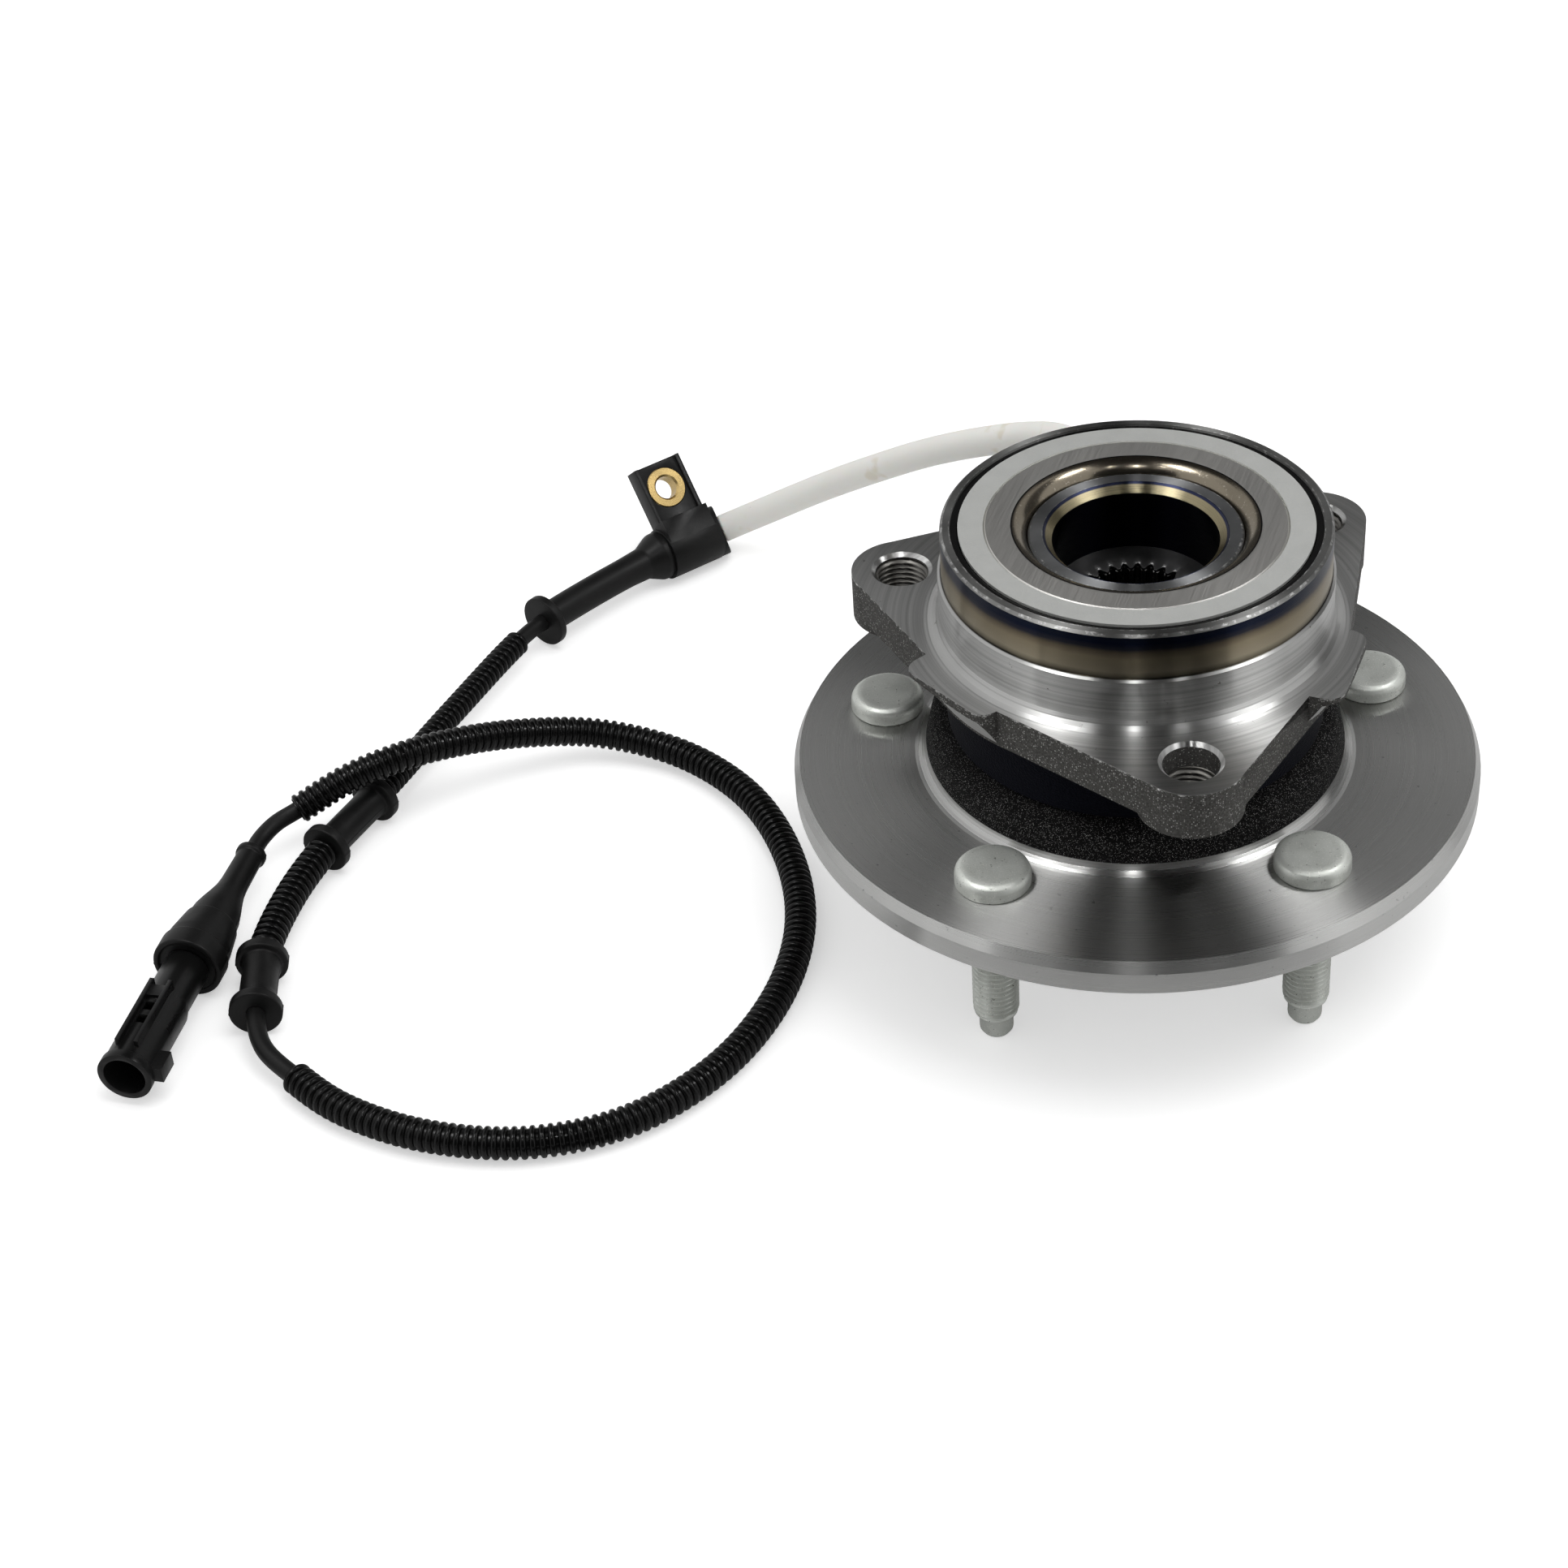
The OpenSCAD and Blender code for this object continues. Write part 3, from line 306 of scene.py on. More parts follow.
# %% Corrugated tubes
RIB_SHAPE = [(0.0, 0.0), (0.14, 0.0), (0.2, 0.3), (0.26, 0.72), (0.38, 0.96), (0.52, 1.0), (0.66, 0.96),
             (0.78, 0.72), (0.84, 0.3), (0.9, 0.0)]


def corrugated(name, node, first, last, crest_d, pitch, depth, sides=32):
    start = along_of(first)
    length = (along_of(last) - start) / MM
    ribs = round(length / pitch)
    pitch = length / ribs
    crest = crest_d / 2
    outer = [((i + t) * pitch, crest - depth * (1 - rise)) for i in range(ribs) for t, rise in RIB_SHAPE]
    outer.append((length, crest - depth))
    inner = [(s, TUBE_BORE) for s in np.linspace(length, 0, 2 * ribs)]
    tube = swept(name, start, outer + inner, sides=sides)
    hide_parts(node)
    return tube


upper_tube = corrugated("upper_tube_ribbed", "upper_tube", tube1_route[0], tube1_route[-1], 7.6, 2.25, 0.75)
middle_tube = corrugated("middle_tube_ribbed", "middle_tube", tube2_route[0], tube2_route[-1], 9.0, 2.5, 0.85)
long_tube = corrugated("long_tube_ribbed", "long_tube", tube3_route[0], tube3_route[-1], 8.6, 2.35, 0.8)
print("vertices on the long tube:", len(long_tube.data.vertices))

# %% [markdown]
# The grommets are moulded rubber, so their rims are rounded and a fine seam runs along them where the two
# halves of the mould met. They sit on straight stretches of the lead, so each is turned about its own axis,
# and the seam is one column of points that stands out by a hair.

# %% Places on the straight stretches
def along_x(start, turn):
    """Local Z runs level from the start in the direction turn, in degrees."""
    return (Matrix.Translation(Vector(start) * MM) @ Matrix.Rotation(math.radians(turn), 4, "Z")
            @ Matrix.Rotation(math.radians(90), 4, "Y"))


def towards(a, b):
    return along_x(a, math.degrees(math.atan2(b[1] - a[1], b[0] - a[0])))


def distance(a, b):
    return (Vector(b) - Vector(a)).length


def raise_seam(piece, place, angles, height=0.16, above=0.0):
    """Lifts the points that lie at these angles about the piece's own axis, and makes the mould's seam."""
    back = place.inverted()
    for vertex in piece.data.vertices:
        local = back @ vertex.co
        radius = math.hypot(local.x, local.y)
        turn = math.degrees(math.atan2(local.y, local.x)) % 360
        if radius > above * MM and any(abs((turn - a + 180) % 360 - 180) < 1.5 for a in angles):
            scale = (radius + height * MM) / radius
            vertex.co = place @ Vector((local.x * scale, local.y * scale, local.z))


print("straight at the bracket in mm:", round(distance(bracket_a, bracket_b), 1))

# %% Middle and lower grommet
GROMMET_BORE = CABLE_D / 2 + 0.1


def collared(name, node, a, b, body_r, waist):
    """Two thick collars with a waisted body between them."""
    n = distance(a, b)
    disc_r, disc_t = 7.1, 3.0
    outer = [(0, 0.55 * disc_r), (0, disc_r), (disc_t, disc_r), (disc_t + 0.2, body_r), (disc_t + 4, waist),
             (n - disc_t - 4, waist), (n - disc_t - 0.2, body_r), (n - disc_t, disc_r), (n, disc_r),
             (n, 0.55 * disc_r)]
    outline = [(0, GROMMET_BORE)] + rounded(outer, 0.55) + [(n, GROMMET_BORE)]
    place = towards(a, b)
    piece = turned(name, place, outline, sides=120)
    raise_seam(piece, place, (90, 270), above=body_r - 1.5)
    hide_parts(node)
    return piece


middle_grommet = collared("middle_grommet_rubber", "middle_grommet", tube1_route[-1], grommet2_b, 4.9, 4.6)
lower_grommet = collared("lower_grommet_rubber", "lower_grommet", tube2_route[-1], grommet3_b, 5.5, 5.0)
print("grommets made")

# %% Bracket grommet
BRACKET_LEN = distance(bracket_a, bracket_b)
CLIP_GAP, CLIP_LEN = 4.2, 18.0


def make_bracket_grommet():
    """Follows the lead through the bracket and round the bend after it, to its own end collar."""
    shoulder = CLIP_GAP + CLIP_LEN + 0.3
    n = (along_of(grommet1_end) - along_of(bracket_a)) / MM
    front = [(0, 5.0), (0, 8.0), (4.0, 8.0), (4.0, 6.2), (shoulder, 6.2), (shoulder, 7.6),
             (shoulder + 2.4, 7.5), (BRACKET_LEN + 1.5, 5.1), (BRACKET_LEN + 8, 4.8)]
    back = [(s, 4.75) for s in np.arange(BRACKET_LEN + 12, n - 6, 4)]
    end = [(n - 2.9, 4.7), (n - 2.7, 7.9), (n, 7.9), (n, 5.0)]
    outer = rounded(front, 0.6) + back + rounded(end, 0.5)
    inner = [(s, GROMMET_BORE) for s in np.linspace(n, 0, 24)]
    piece = swept("bracket_grommet_rubber", along_of(bracket_a), outer + inner, sides=72)
    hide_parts("bracket_grommet")
    return piece


bracket_grommet = make_bracket_grommet()
print("bracket grommet vertices:", len(bracket_grommet.data.vertices))

# %% [markdown]
# The clip and the connector shell are hard plastic with many flats and small ribs. Their CAD solids have the
# right shape but knife-sharp edges, which no moulding has. A copy of each solid with all its edges rounded
# keeps the shape and gains the thin highlights along the edges.

# %% Helper: a softened copy of a solid
def softened(name, node, width, segments=2, sharp=28):
    """Copies a CAD node's mesh, merges its flats, and rounds every edge."""
    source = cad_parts[node]
    mesh = bpy.data.meshes.new(name)
    work = bmesh.new()
    work.from_mesh(source.data)
    bmesh.ops.remove_doubles(work, verts=work.verts, dist=1e-6)
    bmesh.ops.dissolve_limit(work, angle_limit=math.radians(2), verts=work.verts, edges=work.edges)
    edges = [e for e in work.edges if e.is_manifold and e.calc_face_angle(0) > math.radians(sharp)]
    bmesh.ops.bevel(work, geom=edges, offset=width * MM, offset_type="OFFSET", segments=segments,
                    profile=0.5, affect="EDGES", clamp_overlap=True)
    work.to_mesh(mesh)
    work.free()
    mesh.shade_smooth()
    mesh.set_sharp_from_angle(angle=math.radians(40))
    piece = bpy.data.objects.new(name, mesh)
    bpy.context.scene.collection.objects.link(piece)
    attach(piece, "housing_unit")
    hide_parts(node)
    return piece


clip = softened("bracket_clip_moulded", "bracket_clip", 0.35)
shell = softened("connector_shell_moulded", "connector_shell", 0.18)
print("clip and shell faces:", len(clip.data.polygons), len(shell.data.polygons))

# %% [markdown]
# The brass bush is a turned ring that keeps the bolt from crushing the plastic tab. Its ends are chamfered
# inside and out, and they stand a hair proud of the tab.

# %% Bush
TAB_LEAN = 49
BUSH_X, TAB_Z0, TAB_T = 18.6, -1.0, 5.0


def clip_place():
    """The clip's own frame: X towards the tab's end, Y along the lead, Z out of the tab's face."""
    turn = math.atan2(bracket_b[1] - bracket_a[1], bracket_b[0] - bracket_a[0]) - math.pi / 2
    return (Matrix.Translation(Vector(bracket_a) * MM) @ Matrix.Rotation(turn, 4, "Z")
            @ Matrix.Rotation(math.radians(-TAB_LEAN), 4, "Y"))


def make_bush():
    place = clip_place() @ Matrix.Translation(Vector((BUSH_X, CLIP_GAP + CLIP_LEN / 2, TAB_Z0 - 0.3)) * MM)
    n, outer_r, bore = TAB_T + 0.6, 6.4, 3.5
    outline = [(0.6, bore), (0, bore + 0.6), (0, outer_r - 0.3), (0.3, outer_r), (n - 0.3, outer_r),
               (n, outer_r - 0.3), (n, bore + 0.6), (n - 0.6, bore)]
    piece = turned("bush_ring", place, outline, sides=64)
    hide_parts("bracket_bush")
    return piece


bush = make_bush()
print("bush made")

# %% [markdown]
# The connector boot is a long rubber bell: a bead where the cable enters, a thin neck, a flare, and a thick
# flange that seals on the shell. One outline turned about the connector's axis makes it, with a mould seam.

# %% Connector boot
BOOT_LEN = 49.0


def make_boot():
    end = BOOT_LEN - 6
    outer = rounded([(0, 2.6), (0, 4.3), (1.8, 4.3), (2.4, 3.7), (end - 29, 3.9)], 0.5)
    flare = [(end - 29 + 17 * t, 3.9 + 3.1 * (3 * t * t - 2 * t ** 3)) for t in (0.2, 0.4, 0.6, 0.8, 1.0)]
    bell = rounded([(end - 11.6, 7.1), (end - 11.2, 7.6), (end - 3, 8.9), (end, 8.9), (end + 0.1, 9.6),
                    (BOOT_LEN, 9.6), (BOOT_LEN, 8.2), (BOOT_LEN - 0.8, 7.9), (BOOT_LEN - 0.8, 6.0)], 0.6)
    outline = [(0, 2.6)] + outer[1:] + flare + bell + [(BOOT_LEN - 0.9, 2.6)]
    place = along_x(boot_a, BOOT_TURN)
    piece = turned("connector_boot_rubber", place, outline, sides=120)
    raise_seam(piece, place, (90, 270), height=0.14, above=3.4)
    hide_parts("connector_boot")
    return piece


boot = make_boot()
print("boot vertices:", len(boot.data.vertices))

# %% [markdown]
# A wheel stud is a pressed-in bolt: a low domed head, a collar hidden in the flange, here without its
# serrations, a rolled M12 thread and a plain tip that finds the nut. A rolled thread is a real helix, so its
# surface is drawn as a grid whose radius depends on height and turn together.

# %% Wheel studs
STUD_CIRCLE_R = 67.5
STUD_TURN = 15.2
STUD_PITCH = 1.5
STUD_TOP = 54.9
THREAD_SIDES = 48
ROWS_PER_TURN = 8


def thread_radius(height, turn, crest, root, pitch):
    """Radius of a rolled thread: a triangle wave along the helix, cut flat at the crest and the root."""
    wave = abs(2 * ((height / pitch - turn / (2 * math.pi)) % 1.0) - 1)
    return root + (crest - root) * min(1.0, max(0.0, 1.35 * wave - 0.18))


def make_stud(name, centre):
    tip = [(0.0, 0.0), (0.0, 3.0), (0.35, 3.6), (1.4, 4.3), (2.0, 4.4), (6.0, 4.4), (7.2, 5.2)]
    low, high = 7.2, 38.9
    threads = list(np.arange(low, high, STUD_PITCH / ROWS_PER_TURN))
    head = rounded([(39.0, 5.9), (40.0, 6.5), (50.0, 6.5), (50.0, 9.7), (52.9, 9.7), (54.0, 9.3),
                    (STUD_TOP - 0.2, 8.2), (STUD_TOP, 6.9), (STUD_TOP, 0.0)], 0.5)
    angles = [2 * math.pi * k / THREAD_SIDES for k in range(THREAD_SIDES)]
    grid = [(h, r, a) for h, r in tip for a in angles]
    for h in threads:
        fade = min(1.0, (h - low) / 1.5, (high - h) / 1.5)
        for a in angles:
            r = 5.2 + fade * (thread_radius(h, a, 6.0, 5.15, STUD_PITCH) - 5.2) + (1 - fade) * 0.4
            grid.append((h, r, a))
    grid += [(h, r, a) for h, r in head for a in angles]
    points = [Vector((centre[0] + r * math.cos(a), centre[1] + r * math.sin(a), h)) * MM for h, r, a in grid]
    faces = ring_faces(len(tip) + len(threads) + len(head), THREAD_SIDES)
    stud = mesh_object(name, points, faces, "hub_unit", sharp=38)
    return stud


studs = []
for i in range(5):
    turn = math.radians(STUD_TURN + 72 * i)
    centre = (STUD_CIRCLE_R * math.cos(turn), STUD_CIRCLE_R * math.sin(turn))
    studs.append(make_stud("wheel_stud_%d" % (i + 1), centre))
    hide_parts("wheel_studs")
print("faces on one stud:", len(studs[0].data.polygons))

# %% [markdown]
# The three ears are tapped M14. The CAD holes have the full thread diameter, so each thread is a thin sleeve
# of ridges that stands inwards from the wall. The front hole starts with a plain stretch.

# %% Ear threads
EAR_CIRCLE_R = 63.75
EAR_TURNS = (34.5, 154.5, 274.5)
EAR_PITCH = 1.5


def make_ear_thread(name, turn, low, high):
    x = EAR_CIRCLE_R * math.cos(math.radians(turn))
    y = EAR_CIRCLE_R * math.sin(math.radians(turn))
    angles = [2 * math.pi * k / THREAD_SIDES for k in range(THREAD_SIDES)]
    heights = list(np.arange(low, high, EAR_PITCH / ROWS_PER_TURN))
    grid = []
    for h in heights:
        fade = min(1.0, (h - low) / 0.8, (heights[-1] - h) / 0.8)
        grid += [(h, 6.97 - fade * (6.97 - thread_radius(h, a, 6.15, 6.93, EAR_PITCH)), a) for a in angles]
    grid += [(h, 6.99, a) for h in (heights[-1], heights[0]) for a in angles]
    points = [Vector((x + r * math.cos(a), y + r * math.sin(a), h)) * MM for h, r, a in grid]
    faces = ring_faces(len(heights) + 2, THREAD_SIDES, closed=True)
    piece = mesh_object(name, points, faces, "housing_unit", sharp=50)
    return piece


ear_threads = [make_ear_thread("ear_thread_1", EAR_TURNS[0], 78.4, 90.0),
               make_ear_thread("ear_thread_2", EAR_TURNS[1], 78.4, 90.2),
               make_ear_thread("ear_thread_3", EAR_TURNS[2], 78.4, 84.5)]
print("ear threads:", len(ear_threads))

# %% [markdown]
# Deep in the bore the spline begins. The lead-in taper is cut through the teeth, so its lower edge is a ring
# of points and notches. A thin ring on top of the solid draws that edge: its inner radius follows a wave with
# 27 crests, one for each tooth.

# %% Mouth of the spline
def make_spline_mouth():
    teeth, per_tooth, foot = 27, 16, 91.0
    taper = [(20.95, 97.35), (18.0, 96.75), (15.6, 96.25)]
    angles = np.linspace(0, 2 * math.pi, teeth * per_tooth, endpoint=False)
    wave = np.cos(teeth * angles)
    inner = 14.28 + 0.82 * np.clip(wave * 1.15, -1, 1)
    rings = [(np.full_like(angles, r), np.full_like(angles, z)) for r, z in taper]
    rings.append((inner + 0.12, 95.55 + 0.42 * (inner + 0.12 - 13.46) / 1.64))
    rings.append((inner, 95.35 + 0.42 * (inner - 13.46) / 1.64))
    rings.append((inner, np.full_like(angles, foot)))
    rings.append((inner + 0.5, np.full_like(angles, foot)))
    rings.append((np.full_like(angles, 20.95), np.full_like(angles, 96.9)))
    points = [Vector((r * math.cos(t), r * math.sin(t), z)) * MM
              for radii, heights in rings for r, z, t in zip(radii, heights, angles)]
    faces = ring_faces(len(rings), len(angles), closed=True)
    mouth = mesh_object("spline_mouth", points, faces, "hub_unit", sharp=40)
    return mouth


spline_mouth = make_spline_mouth()
print("spline mouth faces:", len(spline_mouth.data.polygons))

# %% [markdown]
# The CAD meshes carry the exact shapes of the metal parts, so they stay. Their round faces are shaded smooth
# and their edges stay crisp.

# %% Smooth shading on the solids that stay
for node_name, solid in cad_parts.items():
    if not solid.hide_render:
        solid.data.shade_smooth()
        solid.data.set_sharp_from_angle(angle=math.radians(28))
shown = [name for name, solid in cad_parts.items() if not solid.hide_render]
print("solids that stay:", len(shown))

# %% [markdown]
# Every finish here is built from shader nodes. A few small helpers keep the cells short: one adds a node and
# sets or links its sockets, another starts a node group with named sockets.

# %% Helpers: nodes and groups
def feed(tree, node, inputs):
    """Sets each input of a node to a value or links it to a socket."""
    for key, value in (inputs or {}).items():
        if isinstance(value, bpy.types.NodeSocket):
            tree.links.new(value, node.inputs[key])
        else:
            node.inputs[key].default_value = value


def add(tree, kind, inputs=None, **fields):
    """Adds a shader node, sets its fields and feeds its inputs."""
    made = tree.nodes.new("ShaderNode" + kind)
    for field, value in fields.items():
        setattr(made, field, value)
    feed(tree, made, inputs)
    return made


def maths(tree, operation, a, b=0.0, c=0.0):
    return add(tree, "Math", {0: a, 1: b, 2: c}, operation=operation).outputs[0]


def blend_colour(tree, mask, a, b):
    return add(tree, "Mix", {0: mask, 6: a, 7: b}, data_type="RGBA").outputs[2]


def blend_value(tree, mask, a, b):
    return add(tree, "Mix", {0: mask, 2: a, 3: b}).outputs[0]


def start_group(name, inputs, outputs):
    group = bpy.data.node_groups.new(name, "ShaderNodeTree")
    for socket, kind, value in inputs:
        made = group.interface.new_socket(socket, in_out="INPUT", socket_type="NodeSocket" + kind)
        if value is not None:
            made.default_value = value
    for socket, kind in outputs:
        group.interface.new_socket(socket, in_out="OUTPUT", socket_type="NodeSocket" + kind)
    return group, group.nodes.new("NodeGroupInput").outputs, group.nodes.new("NodeGroupOutput").inputs


def place_group(tree, group, inputs=None):
    made = tree.nodes.new("ShaderNodeGroup")
    made.node_tree = group
    feed(tree, made, inputs)
    return made.outputs


print("node helpers ready")

# %% [markdown]
# Nearly every mark on a turned part follows the axis: tool lines run round it, heat colours lie in bands
# along it, and dark forged skin stops where the cutter started. So the first group turns a point into a
# radius and a height, in millimetres, and the second makes a soft band from either. A zone is where a band of
# heights and a band of radii meet.

# %% Node group: place on the axis
def make_axis_group():
    group, given, result = start_group("place on the axis", [("Point", "Vector", None)],
                                       [("Radius", "Float"), ("Height", "Float")])
    scaled = add(group, "VectorMath", {0: given["Point"], 3: 1000.0}, operation="SCALE").outputs[0]
    parts = add(group, "SeparateXYZ", {0: scaled}).outputs
    square = maths(group, "ADD", maths(group, "MULTIPLY", parts[0], parts[0]),
                   maths(group, "MULTIPLY", parts[1], parts[1]))
    group.links.new(maths(group, "SQRT", square), result["Radius"])
    group.links.new(parts[2], result["Height"])
    return group


axis_group = make_axis_group()


def on_axis(tree, point):
    placed = place_group(tree, axis_group, {"Point": point})
    return placed["Radius"], placed["Height"]


print("group:", axis_group.name)


# %% Node group: band
def make_band_group():
    group, given, result = start_group(
        "band", [("Value", "Float", 0.0), ("Low", "Float", 0.0), ("High", "Float", 1.0),
                 ("Soft", "Float", 0.1)], [("Mask", "Float")])
    half = given["Soft"]
    rise = add(group, "MapRange", {0: given["Value"], 1: maths(group, "SUBTRACT", given["Low"], half),
                                   2: maths(group, "ADD", given["Low"], half)},
               interpolation_type="SMOOTHSTEP").outputs[0]
    fall = add(group, "MapRange", {0: given["Value"], 1: maths(group, "SUBTRACT", given["High"], half),
                                   2: maths(group, "ADD", given["High"], half), 3: 1.0, 4: 0.0},
               interpolation_type="SMOOTHSTEP").outputs[0]
    group.links.new(maths(group, "MULTIPLY", rise, fall), result["Mask"])
    return group


band_group = make_band_group()


def band(tree, value, low, high, soft=0.1):
    return place_group(tree, band_group, {"Value": value, "Low": low, "High": high, "Soft": soft})["Mask"]


def zone(tree, radius, height, heights, radii):
    """Where two bands meet. Heights and radii are each from, to and softness, in millimetres."""
    return maths(tree, "MULTIPLY", band(tree, height, *heights), band(tree, radius, *radii))


print("group:", band_group.name)

# %% [markdown]
# A lathe leaves fine rings. On a face they change with the radius and on a wall with the height, and a sum of
# the two gives rings on both. The group puts out fine lines for the relief and broader, softer ones for the
# shine.

# %% Node group: tool lines
def make_lines_group():
    group, given, result = start_group(
        "tool lines", [("Radius", "Float", 0.0), ("Height", "Float", 0.0), ("Per mm", "Float", 6.0)],
        [("Fine", "Float"), ("Broad", "Float")])
    run = maths(group, "ADD", given["Radius"], maths(group, "MULTIPLY", given["Height"], 1.37))
    fine = add(group, "TexNoise", {"W": maths(group, "MULTIPLY", run, given["Per mm"]), "Scale": 1.0,
                                   "Detail": 2.0}, noise_dimensions="1D").outputs[0]
    broad = add(group, "TexNoise", {"W": run, "Scale": 0.7, "Detail": 3.0, "Roughness": 0.7},
                noise_dimensions="1D").outputs[0]
    group.links.new(fine, result["Fine"])
    group.links.new(broad, result["Broad"])
    return group


lines_group = make_lines_group()
print("group:", lines_group.name)

# %% [markdown]
# Forged and cast skin is rough in another way: small dents in all directions, with a few crystals that
# sparkle. One group gives the dents, the sparkles and a slow unevenness. Another scatters small marks, such
# as pits, dust and the dark specks in zinc plating.

# %% Node groups: forged grain and scattered marks
def make_grain_group():
    group, given, result = start_group(
        "forged grain", [("Point", "Vector", None), ("Size mm", "Float", 0.8)],
        [("Dents", "Float"), ("Sparkle", "Float"), ("Uneven", "Float")])
    scale = maths(group, "DIVIDE", 1000.0, given["Size mm"])
    dents = add(group, "TexNoise", {"Vector": given["Point"], "Scale": scale, "Detail": 3.0,
                                    "Roughness": 0.6}).outputs[0]
    finer = maths(group, "MULTIPLY", scale, 1.3)
    cells = add(group, "TexVoronoi", {"Vector": given["Point"], "Scale": finer})
    grey = add(group, "SeparateXYZ", {0: cells.outputs["Color"]}).outputs[0]
    bright = add(group, "MapRange", {0: grey, 1: 0.68, 2: 0.95}).outputs[0]
    centre = add(group, "MapRange", {0: cells.outputs["Distance"], 1: 0.5, 2: 0.2}).outputs[0]
    group.links.new(dents, result["Dents"])
    group.links.new(maths(group, "MULTIPLY", bright, centre), result["Sparkle"])
    uneven = add(group, "TexNoise", {"Vector": given["Point"], "Scale": maths(group, "MULTIPLY", scale, 0.09),
                                     "Detail": 4.0}).outputs[0]
    group.links.new(uneven, result["Uneven"])
    return group


def make_marks_group():
    group, given, result = start_group(
        "scattered marks", [("Point", "Vector", None), ("Size mm", "Float", 1.0), ("Amount", "Float", 0.2)],
        [("Marks", "Float")])
    scale = maths(group, "DIVIDE", 1000.0, given["Size mm"])
    warp = add(group, "TexNoise", {"Vector": given["Point"], "Scale": scale, "Detail": 3.0,
                                   "Roughness": 0.65}).outputs[0]
    top = maths(group, "SUBTRACT", 0.78, maths(group, "MULTIPLY", given["Amount"], 0.3))
    marks = add(group, "MapRange", {0: warp, 1: top, 2: maths(group, "ADD", top, 0.06)}).outputs[0]
    group.links.new(marks, result["Marks"])
    return group


grain_group = make_grain_group()
marks_group = make_marks_group()
print("groups:", grain_group.name, "and", marks_group.name)


# %% Helper: start a material
def start_material(name, **constants):
    """A material with a Principled shader. Values that are the same all over go on its own sockets."""
    material = bpy.data.materials.new(name)
    material.use_nodes = True
    tree = material.node_tree
    shader = tree.nodes["Principled BSDF"]
    for socket, value in constants.items():
        shader.inputs[socket.replace("_", " ")].default_value = value
    point = add(tree, "TexCoord").outputs["Object"]
    return material, tree, shader, point


def finish(piece, material):
    """Gives every face of the piece this one material."""
    piece.data.materials.clear()
    piece.data.materials.append(material)


def grey(level):
    return (level, level, level, 1)


def bump(tree, height, strength, depth_mm):
    return add(tree, "Bump", {"Height": height, "Strength": strength, "Distance": depth_mm * MM}).outputs[0]


print("material helpers ready")

# %% [markdown]
# The hub is one forging with three kinds of surface. The flange, the spindle and the bore are turned bright.
# The boss keeps its black forged skin, full of tiny sparkles. The chamfer at the mouth of the bore was
# hardened by induction and kept its straw colour. The bore and the spline's teeth deep in it are painted near
# black, as painted shade, and thin painted highlights run along the edges of the end ring. Radius and height
# pick out each zone. Turned metal draws every highlight out across its grooves, so the anisotropy is full
# and stands a quarter turn to them.

# %% Hub
HUB_ZONES = {"boss": ((52.9, 62.4, 0.12), (39.5, 60, 0.2)),
             "nut pocket": ((10, 55.2, 0.05), (0, 31.3, 0.05)),
             "teeth": ((10, 94.9, 0.05), (0, 16, 0.1)),
             "straw chamfer": ((113.6, 115.5, 0.2), (20.5, 22.8, 0.12)),
             "blue line": ((115.3, 116, 0.1), (22.6, 23.3, 0.1)),
             "bore": ((97.1, 113.7, 0.15), (20.2, 21.4, 0.2)),
             "end ring": ((115.3, 117, 0.1), (23.1, 28, 0.1))}


def painted_edge_highlight(tree, point, value, at, width):
    """A painted highlight: a thin bright line painted along an edge, broken up by noise."""
    noise_value = add(tree, "TexNoise", {"Vector": point, "Scale": 420.0, "Detail": 3.0,
                                         "Roughness": 0.7}).outputs[0]
    shift = maths(tree, "MULTIPLY", maths(tree, "SUBTRACT", noise_value, 0.5), 0.9)
    line = band(tree, maths(tree, "ADD", value, shift), at - width, at + width, 0.08)
    highlight_breaks = add(tree, "MapRange", {0: noise_value, 1: 0.5, 2: 0.78}).outputs[0]
    return maths(tree, "MULTIPLY", line, highlight_breaks)


